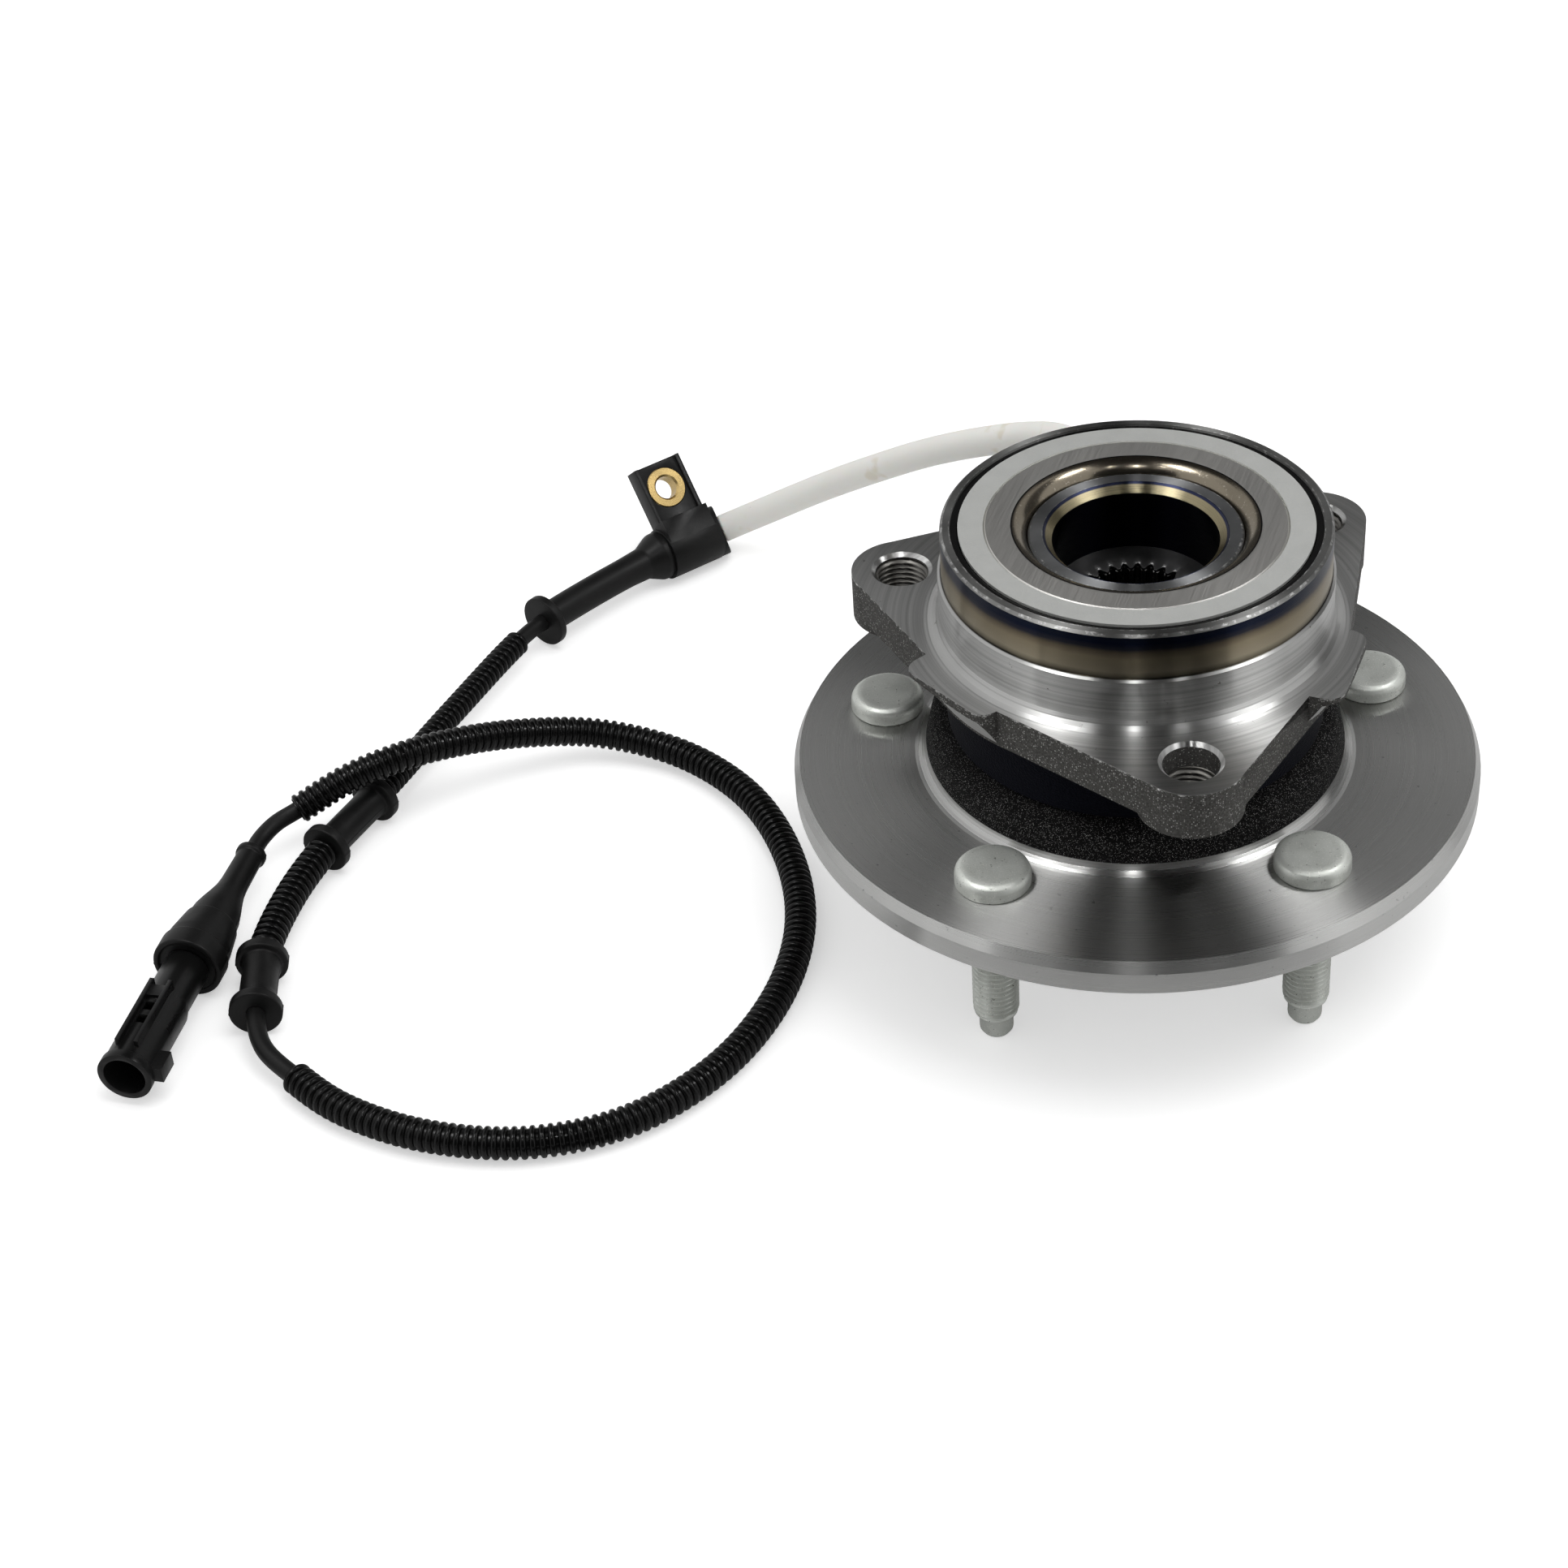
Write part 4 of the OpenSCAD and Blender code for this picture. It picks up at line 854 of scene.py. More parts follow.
def hub_material():
    material, tree, shader, point = start_material("hub_forging", Metallic=1.0, Anisotropic=1.0,
                                                   Anisotropic_Rotation=0.25)
    radius, height = on_axis(tree, point)
    lines = place_group(tree, lines_group, {"Radius": radius, "Height": height, "Per mm": 5.0})
    grain = place_group(tree, grain_group, {"Point": point, "Size mm": 0.28})
    stain = place_group(tree, grain_group, {"Point": point, "Size mm": 1.1})["Uneven"]
    marks = place_group(tree, marks_group, {"Point": point, "Size mm": 2.2, "Amount": 0.3})["Marks"]
    boss, pocket, teeth, straw, blue, bore, ring = [zone(tree, radius, height, *place)
                                                    for place in HUB_ZONES.values()]
    skin = maths(tree, "MAXIMUM", boss, pocket)
    steel = blend_colour(tree, lines["Broad"], (0.44, 0.44, 0.432, 1), (0.52, 0.52, 0.51, 1))
    colour = blend_colour(tree, marks, steel, grey(0.25))
    mottle_and_highlight = blend_colour(tree, stain, (0.08, 0.083, 0.086, 1), (0.34, 0.345, 0.35, 1))
    # Painted highlights: thin bright lines painted along the end ring's two edges.
    edges = maths(tree, "MAXIMUM", painted_edge_highlight(tree, point, radius, 26.6, 0.25),
                  painted_edge_highlight(tree, point, radius, 23.4, 0.15))
    mottle_and_highlight = blend_colour(tree, edges, mottle_and_highlight, (0.95, 0.95, 0.93, 1))
    colour = blend_colour(tree, ring, colour, mottle_and_highlight)
    # Painted shade: the bore is painted near black.
    colour = blend_colour(tree, bore, colour, (0.003, 0.003, 0.006, 1))
    colour = blend_colour(tree, straw, colour, (0.3, 0.262, 0.165, 1))
    colour = blend_colour(tree, blue, colour, (0.03, 0.035, 0.07, 1))
    # Painted shade: the spline's teeth, deep in the bore, are painted near black too.
    colour = blend_colour(tree, teeth, colour, (0.012, 0.011, 0.01, 1))
    dark = blend_colour(tree, grain["Sparkle"], grey(0.004), (0.62, 0.62, 0.6, 1))
    colour = blend_colour(tree, skin, colour, dark)
    shine = add(tree, "MapRange", {0: lines["Fine"], 3: 0.25, 4: 0.32}).outputs[0]
    shine = blend_value(tree, ring, shine, 0.45)
    shine = blend_value(tree, skin, shine, blend_value(tree, grain["Sparkle"], 0.6, 0.35))
    relief = blend_value(tree, skin, maths(tree, "MULTIPLY", lines["Fine"], 0.05),
                         maths(tree, "ADD", grain["Dents"], grain["Sparkle"]))
    metal = blend_value(tree, skin, 1.0, grain["Sparkle"])
    tree.links.new(colour, shader.inputs["Base Color"])
    tree.links.new(shine, shader.inputs["Roughness"])
    tree.links.new(metal, shader.inputs["Metallic"])
    tree.links.new(bump(tree, relief, 0.8, 0.35), shader.inputs["Normal"])
    shader.inputs["Specular IOR Level"].default_value = 0.08
    spin = add(tree, "Tangent", direction_type="RADIAL", axis="Z")
    tree.links.new(spin.outputs[0], shader.inputs["Tangent"])
    return material


hub_finish = hub_material()
finish(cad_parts["hub"], hub_finish)
print("hub finished")

# %% [markdown]
# The housing is the other forging. Its bearing end was heated to shrink or harden it, and steel keeps a
# record of that: blue-black at the hottest edge, then purple and bronze. The seat below is ground bright, the
# ears are milled, and everything that no cutter reached is dark and grainy. Under the plate that skin is
# painted near black, as painted shade, and thin painted highlights run along the end ring's edges and the
# top edges of the ears. A colour ramp over the height draws the heat colours.

# %% Housing
HEAT_COLOURS = [(0.0, (0.01, 0.009, 0.008)), (0.05, (0.13, 0.115, 0.085)), (0.16, (0.25, 0.22, 0.16)),
                (0.46, (0.2, 0.168, 0.113)), (0.6, (0.1, 0.082, 0.058)), (0.68, (0.02, 0.02, 0.028)),
                (0.8, (0.004, 0.007, 0.02)), (1.0, (0.006, 0.009, 0.018))]
HOUSING_ZONES = {"underside": ((60, 80.9, 0.05), (46.6, 100, 0.05)),
                 "spigot wall": ((105.7, 118.2, 0.12), (48.4, 50.1, 0.1)),
                 "end ring": ((117.75, 119, 0.06), (46.4, 50, 0.1))}


def heat_ramp(tree, value):
    """The colours that steel takes on when it is heated, from the cool end to the hot end."""
    made = add(tree, "ValToRGB", {0: value})
    ramp = made.color_ramp
    while len(ramp.elements) < len(HEAT_COLOURS):
        ramp.elements.new(0.5)
    for element, (at, colour) in zip(ramp.elements, HEAT_COLOURS):
        element.position = at
        element.color = (*colour, 1)
    return made.outputs[0]


def round_tangent(tree, point):
    """The direction round the axis at each point, for a body whose box is not centred on the axis."""
    flat = add(tree, "VectorMath", {0: point, 1: (1, 1, 0)}, operation="MULTIPLY").outputs[0]
    across = add(tree, "VectorMath", {0: (0, 0, 1), 1: flat}, operation="CROSS_PRODUCT").outputs[0]
    return add(tree, "VectorMath", {0: across}, operation="NORMALIZE").outputs[0]


def housing_material():
    material, tree, shader, point = start_material("housing_forging", Metallic=1.0, Anisotropic=1.0,
                                                   Anisotropic_Rotation=0.25)
    radius, height = on_axis(tree, point)
    lines = place_group(tree, lines_group, {"Radius": radius, "Height": height, "Per mm": 3.0})
    grain = place_group(tree, grain_group, {"Point": point, "Size mm": 0.55})
    stain = place_group(tree, grain_group, {"Point": point, "Size mm": 1.4})["Uneven"]
    marks = place_group(tree, marks_group, {"Point": point, "Size mm": 2.6, "Amount": 0.3})["Marks"]
    facing = add(tree, "SeparateXYZ", {0: add(tree, "NewGeometry").outputs["True Normal"]}).outputs[2]
    upward = maths(tree, "ABSOLUTE", facing)
    outside = band(tree, radius, 50.6, 100, 0.4)
    side = maths(tree, "MULTIPLY", outside, band(tree, upward, -1, 0.3, 0.05))
    under, wall, end = [zone(tree, radius, height, *place) for place in HOUSING_ZONES.values()]
    skin = maths(tree, "MAXIMUM", maths(tree, "MULTIPLY", side, band(tree, height, 60, 91.25, 0.02)), under)
    wavy = maths(tree, "ADD", height, maths(tree, "MULTIPLY", stain, 1.6))
    heat = heat_ramp(tree, add(tree, "MapRange", {0: wavy, 1: 106.5, 2: 119.4}).outputs[0])
    steel = blend_colour(tree, lines["Broad"], (0.26, 0.26, 0.255, 1), (0.62, 0.62, 0.61, 1))
    colour = blend_colour(tree, marks, steel, (0.16, 0.15, 0.14, 1))
    colour = blend_colour(tree, wall, colour, heat)
    mottle_and_highlight = blend_colour(tree, stain, (0.05, 0.05, 0.048, 1), (0.4, 0.4, 0.39, 1))
    # Painted highlights: thin bright lines painted along the end ring's two edges.
    edges = maths(tree, "MAXIMUM", painted_edge_highlight(tree, point, radius, 48.7, 0.25),
                  painted_edge_highlight(tree, point, radius, 46.8, 0.15))
    mottle_and_highlight = blend_colour(tree, edges, mottle_and_highlight, (0.95, 0.95, 0.94, 1))
    colour = blend_colour(tree, end, colour, mottle_and_highlight)
    cast = blend_colour(tree, grain["Dents"], (0.006, 0.006, 0.005, 1), (0.14, 0.137, 0.13, 1))
    cast = blend_colour(tree, grain["Sparkle"], cast, (0.5, 0.5, 0.48, 1))
    # Painted highlight: a thin bright line painted along the top edge of the ears' side walls.
    painted_rim_highlight = maths(tree, "MULTIPLY", painted_edge_highlight(tree, point, height, 91.1, 0.25), side)
    cast = blend_colour(tree, painted_rim_highlight, cast, (1.0, 1.0, 0.98, 1))
    # Painted shade: under the plate, from 60 to 78 mm up, the skin is painted near black.
    dark = blend_colour(tree, grain["Dents"], (0.002, 0.002, 0.004, 1), (0.008, 0.009, 0.014, 1))
    cast = blend_colour(tree, band(tree, height, 60, 78, 0.2), cast, dark)
    colour = blend_colour(tree, skin, colour, cast)
    shine = add(tree, "MapRange", {0: lines["Fine"], 3: 0.26, 4: 0.34}).outputs[0]
    face = maths(tree, "MULTIPLY", outside, band(tree, height, 91, 91.4, 0.05))
    shine = blend_value(tree, face, shine, 0.34)
    shine = blend_value(tree, end, shine, 0.38)
    shine = blend_value(tree, skin, shine, 0.55)
    relief = blend_value(tree, skin, maths(tree, "MULTIPLY", lines["Fine"], 0.06), grain["Dents"])
    tree.links.new(colour, shader.inputs["Base Color"])
    tree.links.new(shine, shader.inputs["Roughness"])
    tree.links.new(blend_value(tree, skin, 1.0, 0.5), shader.inputs["Metallic"])
    tree.links.new(bump(tree, relief, 0.8, 0.4), shader.inputs["Normal"])
    tree.links.new(round_tangent(tree, point), shader.inputs["Tangent"])
    shader.inputs["Specular IOR Level"].default_value = 0.08
    return material


finish(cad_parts["housing"], housing_material())
print("housing finished")

# %% [markdown]
# The back face of the cone is ground on a belt, not on a lathe, so its marks are straight and all lean the
# same way. The rounded edge of its bore was polished and has a bronze cast. Noise stretched along one
# direction draws belt marks: the point is scaled up across the marks and hardly at all along them.

# %% Bearing cones
BELT_TURN = 68


def cone_material():
    material, tree, shader, point = start_material("ground_cone", Metallic=1.0, Anisotropic=0.5,
                                                   Anisotropic_Rotation=0.25)
    radius, height = on_axis(tree, point)
    lines = place_group(tree, lines_group, {"Radius": radius, "Height": height, "Per mm": 4.0})
    leaning = add(tree, "Mapping", {0: point, 2: (0, 0, math.radians(-BELT_TURN))}).outputs[0]
    belt = add(tree, "VectorMath", {0: leaning, 1: (60, 2400, 100)}, operation="MULTIPLY").outputs[0]
    coarse = add(tree, "VectorMath", {0: leaning, 1: (20, 600, 60)}, operation="MULTIPLY").outputs[0]
    fine_marks = add(tree, "TexNoise", {"Vector": belt, "Scale": 1.0, "Detail": 3.0}).outputs[0]
    wide_marks = add(tree, "TexNoise", {"Vector": coarse, "Scale": 1.0, "Detail": 4.0,
                                        "Roughness": 0.7}).outputs[0]
    specks = place_group(tree, marks_group, {"Point": point, "Size mm": 0.9, "Amount": 0.55})["Marks"]
    face = maths(tree, "MAXIMUM", band(tree, height, 114.3, 120, 0.05), band(tree, height, 50, 66.7, 0.05))
    bore_edge = maths(tree, "MULTIPLY", face, band(tree, radius, 0, 31.1, 0.1))
    groove = maths(tree, "MULTIPLY", face, band(tree, radius, 30.9, 31.3, 0.06))
    ground = maths(tree, "MULTIPLY", face, band(tree, radius, 31.1, 60, 0.08))
    steel = blend_colour(tree, wide_marks, (0.52, 0.51, 0.485, 1), (0.78, 0.77, 0.74, 1))
    steel = blend_colour(tree, fine_marks, steel, (0.58, 0.57, 0.545, 1))
    bronze = blend_colour(tree, maths(tree, "MULTIPLY", specks, 0.4), (0.2, 0.175, 0.135, 1),
                          (0.5, 0.46, 0.4, 1))
    plain = blend_colour(tree, lines["Broad"], (0.42, 0.42, 0.41, 1), (0.56, 0.56, 0.55, 1))
    colour = blend_colour(tree, ground, plain, steel)
    colour = blend_colour(tree, bore_edge, colour, bronze)
    # Painted shade: the groove is painted near black.
    colour = blend_colour(tree, groove, colour, (0.03, 0.03, 0.03, 1))
    shine = blend_value(tree, ground, 0.2, add(tree, "MapRange", {0: fine_marks, 3: 0.3, 4: 0.5}).outputs[0])
    relief = blend_value(tree, ground, maths(tree, "MULTIPLY", specks, 0.2), fine_marks)
    tree.links.new(colour, shader.inputs["Base Color"])
    tree.links.new(shine, shader.inputs["Roughness"])
    tree.links.new(bump(tree, relief, 0.35, 0.05), shader.inputs["Normal"])
    spin = add(tree, "Tangent", direction_type="RADIAL", axis="Z")
    tree.links.new(spin.outputs[0], shader.inputs["Tangent"])
    return material


cone_finish = cone_material()
for node_name in ("inboard_cone", "outboard_cone"):
    finish(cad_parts[node_name], cone_finish)
print("cones finished")

# %% [markdown]
# Zinc plating is pale, slightly greenish and never even. The studs, the sensor's screw and the slingers
# have it. On the stamped slingers it is smooth and soft, on the studs it is grainy with dark specks, so the
# grain is a setting of one material function.

# %% Zinc plated parts
def zinc_material(name, pale, dull, shine, speck):
    material, tree, shader, point = start_material(name, Metallic=0.6, Anisotropic=0.2)
    grain = place_group(tree, grain_group, {"Point": point, "Size mm": 0.5})
    marks = place_group(tree, marks_group, {"Point": point, "Size mm": 0.8, "Amount": speck})["Marks"]
    colour = blend_colour(tree, grain["Uneven"], pale, dull)
    colour = blend_colour(tree, marks, colour, (0.13, 0.13, 0.115, 1))
    colour = blend_colour(tree, grain["Sparkle"], colour, (0.8, 0.8, 0.76, 1))
    rough = add(tree, "MapRange", {0: grain["Dents"], 1: 0.3, 2: 0.7, 3: shine - 0.07,
                                   4: shine + 0.07}).outputs[0]
    tree.links.new(colour, shader.inputs["Base Color"])
    tree.links.new(rough, shader.inputs["Roughness"])
    tree.links.new(bump(tree, grain["Dents"], 0.35, 0.12), shader.inputs["Normal"])
    return material


zinc_sheet = zinc_material("zinc_sheet", (0.8, 0.81, 0.785, 1), (0.68, 0.69, 0.665, 1), 0.4, 0.05)
zinc_bolt = zinc_material("zinc_bolt", (0.7, 0.72, 0.685, 1), (0.5, 0.52, 0.48, 1), 0.44, 0.45)
for node_name in ("inboard_slinger", "outboard_slinger"):
    finish(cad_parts[node_name], zinc_sheet)
for piece in studs + [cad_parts["sensor_screw"]]:
    finish(piece, zinc_bolt)
print("zinc finished")

# %% [markdown]
# Inside the bearing sit the rollers, the pressed cages, the toothed ring and the seal cases. Little of them
# shows in a photograph, but each has its real finish: ground and bright, pressed and oily, or machined and
# darker. The tapped holes and the mouth of the spline are oily and in shade, so they are darker still.

# %% Inner metal parts
def inner_metal(name, light, dark, shine, bumpy):
    material, tree, shader, point = start_material(name, Metallic=1.0, Anisotropic=0.3)
    radius, height = on_axis(tree, point)
    lines = place_group(tree, lines_group, {"Radius": radius, "Height": height, "Per mm": 4.0})
    grain = place_group(tree, grain_group, {"Point": point, "Size mm": 0.9})
    colour = blend_colour(tree, grain["Uneven"], light, dark)
    rough = add(tree, "MapRange", {0: lines["Fine"], 3: shine - 0.05, 4: shine + 0.08}).outputs[0]
    tree.links.new(colour, shader.inputs["Base Color"])
    tree.links.new(rough, shader.inputs["Roughness"])
    tree.links.new(bump(tree, blend_value(tree, bumpy, lines["Fine"], grain["Dents"]), 0.4, 0.08),
                   shader.inputs["Normal"])
    return material


def solids(*names):
    return [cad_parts[name] for name in names]


# Each row: name, two colours, roughness, how dented, pieces.
INNER_METALS = [
    ("roller_steel", (0.62, 0.62, 0.61, 1), (0.5, 0.5, 0.49, 1), 0.14, 0.0,
     solids("inboard_rollers", "outboard_rollers")),
    ("cage_steel", (0.34, 0.33, 0.31, 1), (0.2, 0.19, 0.17, 1), 0.38, 0.7,
     solids("inboard_cage", "outboard_cage")),
    ("dark_steel", (0.2, 0.2, 0.21, 1), grey(0.1), 0.34, 0.4,
     solids("tone_ring", "inboard_seal_case", "outboard_seal_case", "sensor_tip")),
    ("spline_steel", grey(0.13), grey(0.05), 0.3, 0.3, [spline_mouth]),
    ("thread_steel", (0.16, 0.155, 0.145, 1), (0.07, 0.068, 0.062, 1), 0.36, 0.5, ear_threads)]
for *settings, pieces in INNER_METALS:
    metal = inner_metal(*settings)
    for piece in pieces:
        finish(piece, metal)
print("inner parts finished")

# %% [markdown]
# The black parts are not one black. Seal rubber is wet with grease and glossy, moulded rubber is satin, the
# tubes are a glossy plastic and the sensor a matte, glass-filled one. Each gets its own sheen and its own
# faint texture.

# %% Black rubber and plastic
def soft_black(name, colour_a, colour_b, shine, size, strength, depth, **constants):
    material, tree, shader, point = start_material(name, **constants)
    grain = place_group(tree, grain_group, {"Point": point, "Size mm": size})
    dust = place_group(tree, marks_group, {"Point": point, "Size mm": 1.4, "Amount": 0.12})["Marks"]
    colour = blend_colour(tree, grain["Uneven"], colour_a, colour_b)
    colour = blend_colour(tree, maths(tree, "MULTIPLY", dust, 0.35), colour, (0.16, 0.155, 0.15, 1))
    rough = add(tree, "MapRange", {0: grain["Uneven"], 1: 0.3, 2: 0.7, 3: shine - 0.06,
                                   4: shine + 0.06}).outputs[0]
    tree.links.new(colour, shader.inputs["Base Color"])
    tree.links.new(rough, shader.inputs["Roughness"])
    tree.links.new(bump(tree, grain["Dents"], strength, depth), shader.inputs["Normal"])
    return material


# Each row: name, two greys, roughness, grain in millimetres, bump strength and depth, mirror level, pieces.
BLACKS = [
    ("seal_rubber", 0.002, 0.004, 0.25, 1.2, 0.2, 0.1, 0.25,
     solids("inboard_seal_lip", "outboard_seal_lip", "sensor_o_ring")),
    ("grommet_rubber", 0.004, 0.008, 0.42, 0.7, 0.3, 0.08, 0.18,
     [bracket_grommet, middle_grommet, lower_grommet, boot]),
    ("cable_jacket", 0.005, 0.01, 0.45, 0.6, 0.3, 0.06, 0.18, [cable]),
    ("tube_plastic", 0.002, 0.004, 0.24, 3.0, 0.08, 0.1, 0.18, [upper_tube, middle_tube, long_tube]),
    ("shell_plastic", 0.003, 0.007, 0.3, 0.8, 0.25, 0.06, 0.18, [shell]),
    ("filled_plastic", 0.003, 0.008, 0.38, 0.5, 0.35, 0.06, 0.18, [clip] + solids("speed_sensor"))]
for name, deep, pale, shine, size, strength, depth, level, pieces in BLACKS:
    black = soft_black(name, grey(deep), grey(pale), shine, size, strength, depth, Specular_IOR_Level=level)
    for piece in pieces:
        finish(piece, black)
print("black parts finished")

# %% [markdown]
# The heat sleeve is off-white and a little dirty: yellowish stains gather where hands and grease touched it.
# It lets some light in, so a little subsurface keeps its shaded side from going grey. The bush is yellow
# brass, cut on a lathe, and the terminals are the same metal, stamped.

# %% Sleeve and brass
def sleeve_material():
    material, tree, shader, point = start_material("heat_sleeve", Subsurface_Weight=0.15,
                                                   Subsurface_Scale=0.002)
    grain = place_group(tree, grain_group, {"Point": point, "Size mm": 0.8})
    stains = place_group(tree, marks_group, {"Point": point, "Size mm": 18.0, "Amount": 0.6})["Marks"]
    specks = place_group(tree, marks_group, {"Point": point, "Size mm": 1.2, "Amount": 0.25})["Marks"]
    colour = blend_colour(tree, grain["Uneven"], (0.92, 0.9, 0.84, 1), (0.96, 0.945, 0.905, 1))
    colour = blend_colour(tree, maths(tree, "MULTIPLY", stains, 0.4), colour, (0.7, 0.62, 0.44, 1))
    colour = blend_colour(tree, maths(tree, "MULTIPLY", specks, 0.5), colour, (0.4, 0.36, 0.3, 1))
    rough = add(tree, "MapRange", {0: grain["Uneven"], 3: 0.5, 4: 0.64}).outputs[0]
    tree.links.new(colour, shader.inputs["Base Color"])
    tree.links.new(rough, shader.inputs["Roughness"])
    tree.links.new(bump(tree, grain["Dents"], 0.3, 0.1), shader.inputs["Normal"])
    return material


def brass_material():
    material, tree, shader, point = start_material("brass", Metallic=1.0, Anisotropic=0.3)
    lines = add(tree, "TexNoise", {"Vector": point, "Scale": 2600.0, "Detail": 2.0}).outputs[0]
    grain = place_group(tree, grain_group, {"Point": point, "Size mm": 0.8})
    colour = blend_colour(tree, grain["Uneven"], (0.6, 0.44, 0.19, 1), (0.44, 0.31, 0.12, 1))
    rough = add(tree, "MapRange", {0: lines, 3: 0.22, 4: 0.36}).outputs[0]
    tree.links.new(colour, shader.inputs["Base Color"])
    tree.links.new(rough, shader.inputs["Roughness"])
    tree.links.new(bump(tree, lines, 0.3, 0.05), shader.inputs["Normal"])
    return material


finish(sleeve, sleeve_material())
brass = brass_material()
for piece in (bush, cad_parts["connector_terminals"]):
    finish(piece, brass)
print("sleeve and brass finished")

# %% [markdown]
# The floor is white and the background too, yet the hub keeps its shadow: camera and mirror rays see the
# world at full white, while the light that falls on things is weaker. The floor adds a little glow of its own
# for the camera alone, which lifts it to white without hiding the shadow.

# %% Floor and world
FLOOR_REACH = 3
FLOOR_Z = -0.0005


def make_floor():
    mesh = bpy.data.meshes.new("floor")
    corners = [(-1, -1), (1, -1), (1, 1), (-1, 1)]
    mesh.from_pydata([(FLOOR_REACH * x, FLOOR_REACH * y, FLOOR_Z) for x, y in corners], [], [(0, 1, 2, 3)])
    floor = bpy.data.objects.new("floor", mesh)
    bpy.context.scene.collection.objects.link(floor)
    material = bpy.data.materials.new("floor")
    material.use_nodes = True
    tree = material.node_tree
    shader = tree.nodes["Principled BSDF"]
    shader.inputs["Base Color"].default_value = (0.9, 0.9, 0.9, 1)
    shader.inputs["Roughness"].default_value = 0.9
    shader.inputs["Emission Color"].default_value = (1, 1, 1, 1)
    seen = add(tree, "LightPath").outputs["Is Camera Ray"]
    tree.links.new(maths(tree, "MULTIPLY", seen, 0.45), shader.inputs["Emission Strength"])
    floor.data.materials.append(material)
    return floor


def make_world():
    world = bpy.data.worlds.new("studio")
    bpy.context.scene.world = world
    world.use_nodes = True
    tree = world.node_tree
    background = tree.nodes["Background"]
    background.inputs["Color"].default_value = (1, 1, 1, 1)
    path = add(tree, "LightPath").outputs
    seen = maths(tree, "MAXIMUM", path["Is Camera Ray"],
                 maths(tree, "MAXIMUM", path["Is Glossy Ray"], path["Is Transmission Ray"]))
    level = maths(tree, "ADD", 0.6, maths(tree, "MULTIPLY", seen, 0.4))
    tree.links.new(level, background.inputs["Strength"])
    return world


floor = make_floor()
world = make_world()
print("floor and world ready")

# %% [markdown]
# Bright metal shows its surroundings more than its own colour, so the light is arranged by what the metal
# mirrors. A broad soft light hangs above. Three small ones in front put the narrow upright glints on the
# round walls, and one on either side opens the bright fans on the turned flange.

# %% Lights
LIT_POINT = Vector((0, 0, 0.09))


def make_light(name, azimuth, elevation, distance, size, watts):
    """An area light, placed by its angles and distance from the lit point, and turned to face it."""
    data = bpy.data.lights.new(name, "AREA")
    data.shape = "RECTANGLE"
    data.size, data.size_y = size
    data.energy = watts
    light = bpy.data.objects.new(name, data)
    bpy.context.scene.collection.objects.link(light)
    a, e = math.radians(azimuth), math.radians(elevation)
    away = Vector((math.cos(e) * math.cos(a), math.cos(e) * math.sin(a), math.sin(e)))
    light.location = LIT_POINT + distance * away
    light.rotation_euler = (-away).to_track_quat("-Z", "Y").to_euler()
    return light


# Each row: name, azimuth and elevation in degrees, size in metres, watts.
GLINTS = [("glint_front", -98, 58, (0.02, 0.12), 1.0),
          ("glint_left", -133.5, 60, (0.015, 0.08), 0.3),
          ("glint_right", -62.5, 60, (0.015, 0.08), 0.3),
          ("fan_left", -172, 66, (0.3, 0.3), 4),
          ("fan_right", 4, 60, (0.22, 0.22), 3)]
top_light = make_light("top_light", -30, 74, 1.6, (1.1, 1.1), 10)
top_light.visible_glossy = False
for name, azimuth, elevation, size, watts in GLINTS:
    glint = make_light(name, azimuth, elevation, 1.1, size, watts)
    glint.visible_diffuse = False
print("lights:", 1 + len(GLINTS))

# %% [markdown]
# Between the lights the metal mirrors cards, which only mirror rays see. Dark ones overhead, in front, at the
# side and flat on the floor keep it dark. Behind, a dim card between two bright ones gives the turned faces
# their broad fans.

# %% Cards
CARD_DISTANCE = 1.8
CARD_CENTRE_Z = 0.08


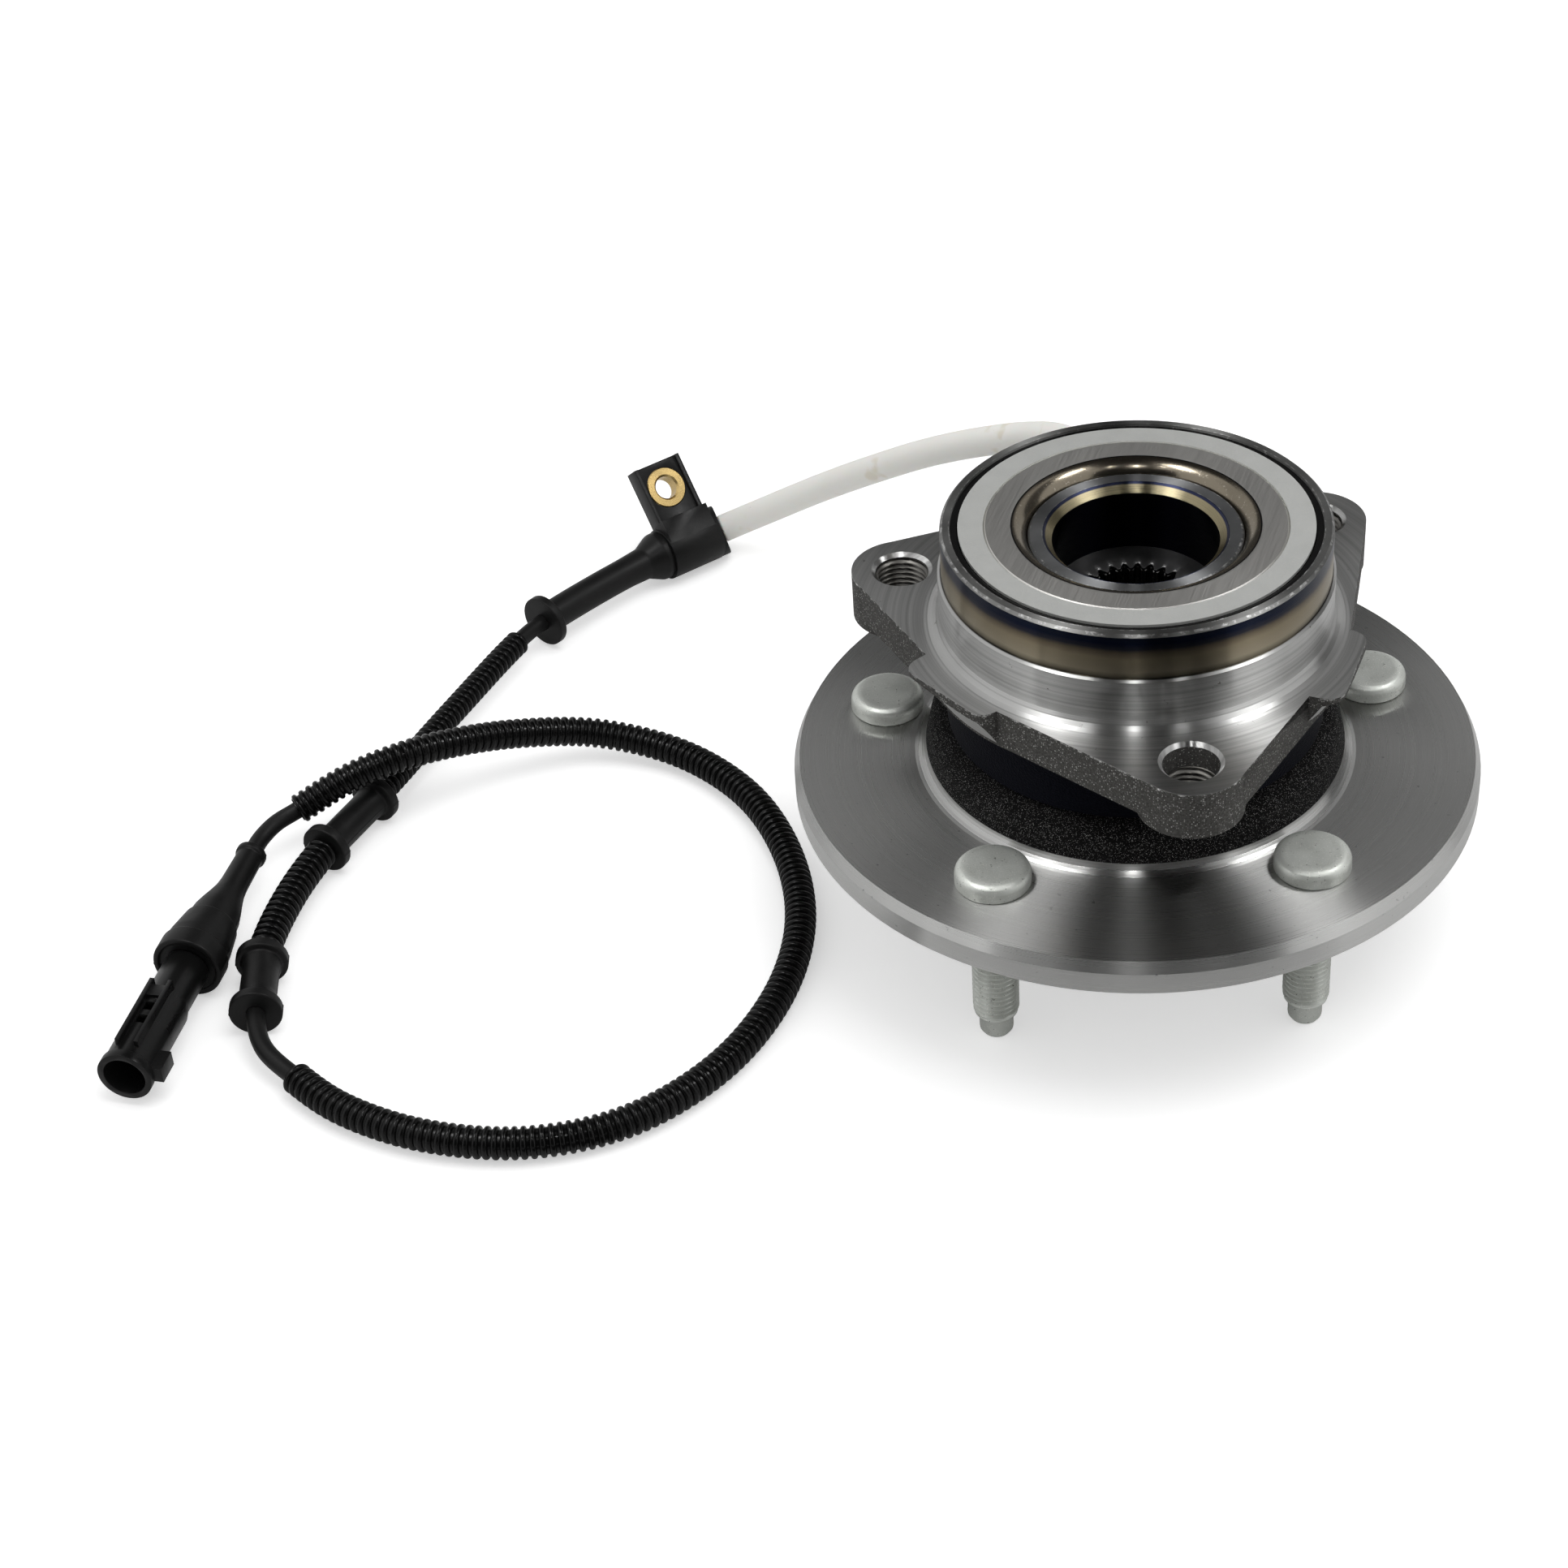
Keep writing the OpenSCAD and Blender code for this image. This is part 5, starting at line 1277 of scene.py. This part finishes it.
def card_point(pole, across, along):
    """A card's point: degrees round its pole and degrees up from the round. On the floor, along is in mm."""
    a, e = math.radians(across), math.radians(along)
    if pole == "floor":
        return along * MM * math.cos(a), along * MM * math.sin(a), 0.0005
    ring, rise = CARD_DISTANCE * math.cos(e), CARD_DISTANCE * math.sin(e)
    if pole == "X":
        return rise, ring * math.cos(a), CARD_CENTRE_Z + ring * math.sin(a)
    return ring * math.cos(a), ring * math.sin(a), CARD_CENTRE_Z + rise


def make_card(name, pole, across, along, glow):
    """A card that only mirror rays see."""
    columns, rows = 24, 10
    points = [card_point(pole, turn, rise)
              for rise in np.linspace(*along, rows) for turn in np.linspace(*across, columns)]
    faces = [(i * columns + k, i * columns + k + 1, (i + 1) * columns + k + 1, (i + 1) * columns + k)
             for i in range(rows - 1) for k in range(columns - 1)]
    mesh = bpy.data.meshes.new(name)
    mesh.from_pydata(points, [], faces)
    card = bpy.data.objects.new(name, mesh)
    bpy.context.scene.collection.objects.link(card)
    material = bpy.data.materials.new(name)
    material.use_nodes = True
    shader = material.node_tree.nodes["Principled BSDF"]
    shader.inputs["Base Color"].default_value = (0.004, 0.004, 0.005, 1)
    shader.inputs["Roughness"].default_value = 1.0
    shader.inputs["Specular IOR Level"].default_value = 0.0
    shader.inputs["Emission Color"].default_value = (1, 1, 1, 1)
    shader.inputs["Emission Strength"].default_value = glow
    card.data.materials.append(material)
    card.visible_camera = False
    card.visible_diffuse = False
    card.visible_shadow = False
    card.visible_transmission = False
    return card


# Each row: name, pole, span across and span along in degrees, glow. The floor card's second span is in mm.
CARDS = [("overhead_card", "X", (48, 176), (-19, 21), 0.02),
         ("front_card", "Z", (-140, -52), (3, 45), 0.02),
         ("back_card", "Z", (66, 104), (1, 50), 0.1),
         ("left_card", "Z", (104, 160), (1, 50), 0.8),
         ("right_card", "Z", (40, 66), (1, 50), 0.7),
         ("side_card", "Z", (12, 40), (1, 58), 0.12),
         ("floor_card", "floor", (-148, -48), (165, 1500), 0.03)]
for settings in CARDS:
    make_card(*settings)
print("cards:", len(CARDS))

# %% [markdown]
# Last, the view transform is set to Standard.

# %% View transform
bpy.context.scene.view_settings.view_transform = "Standard"
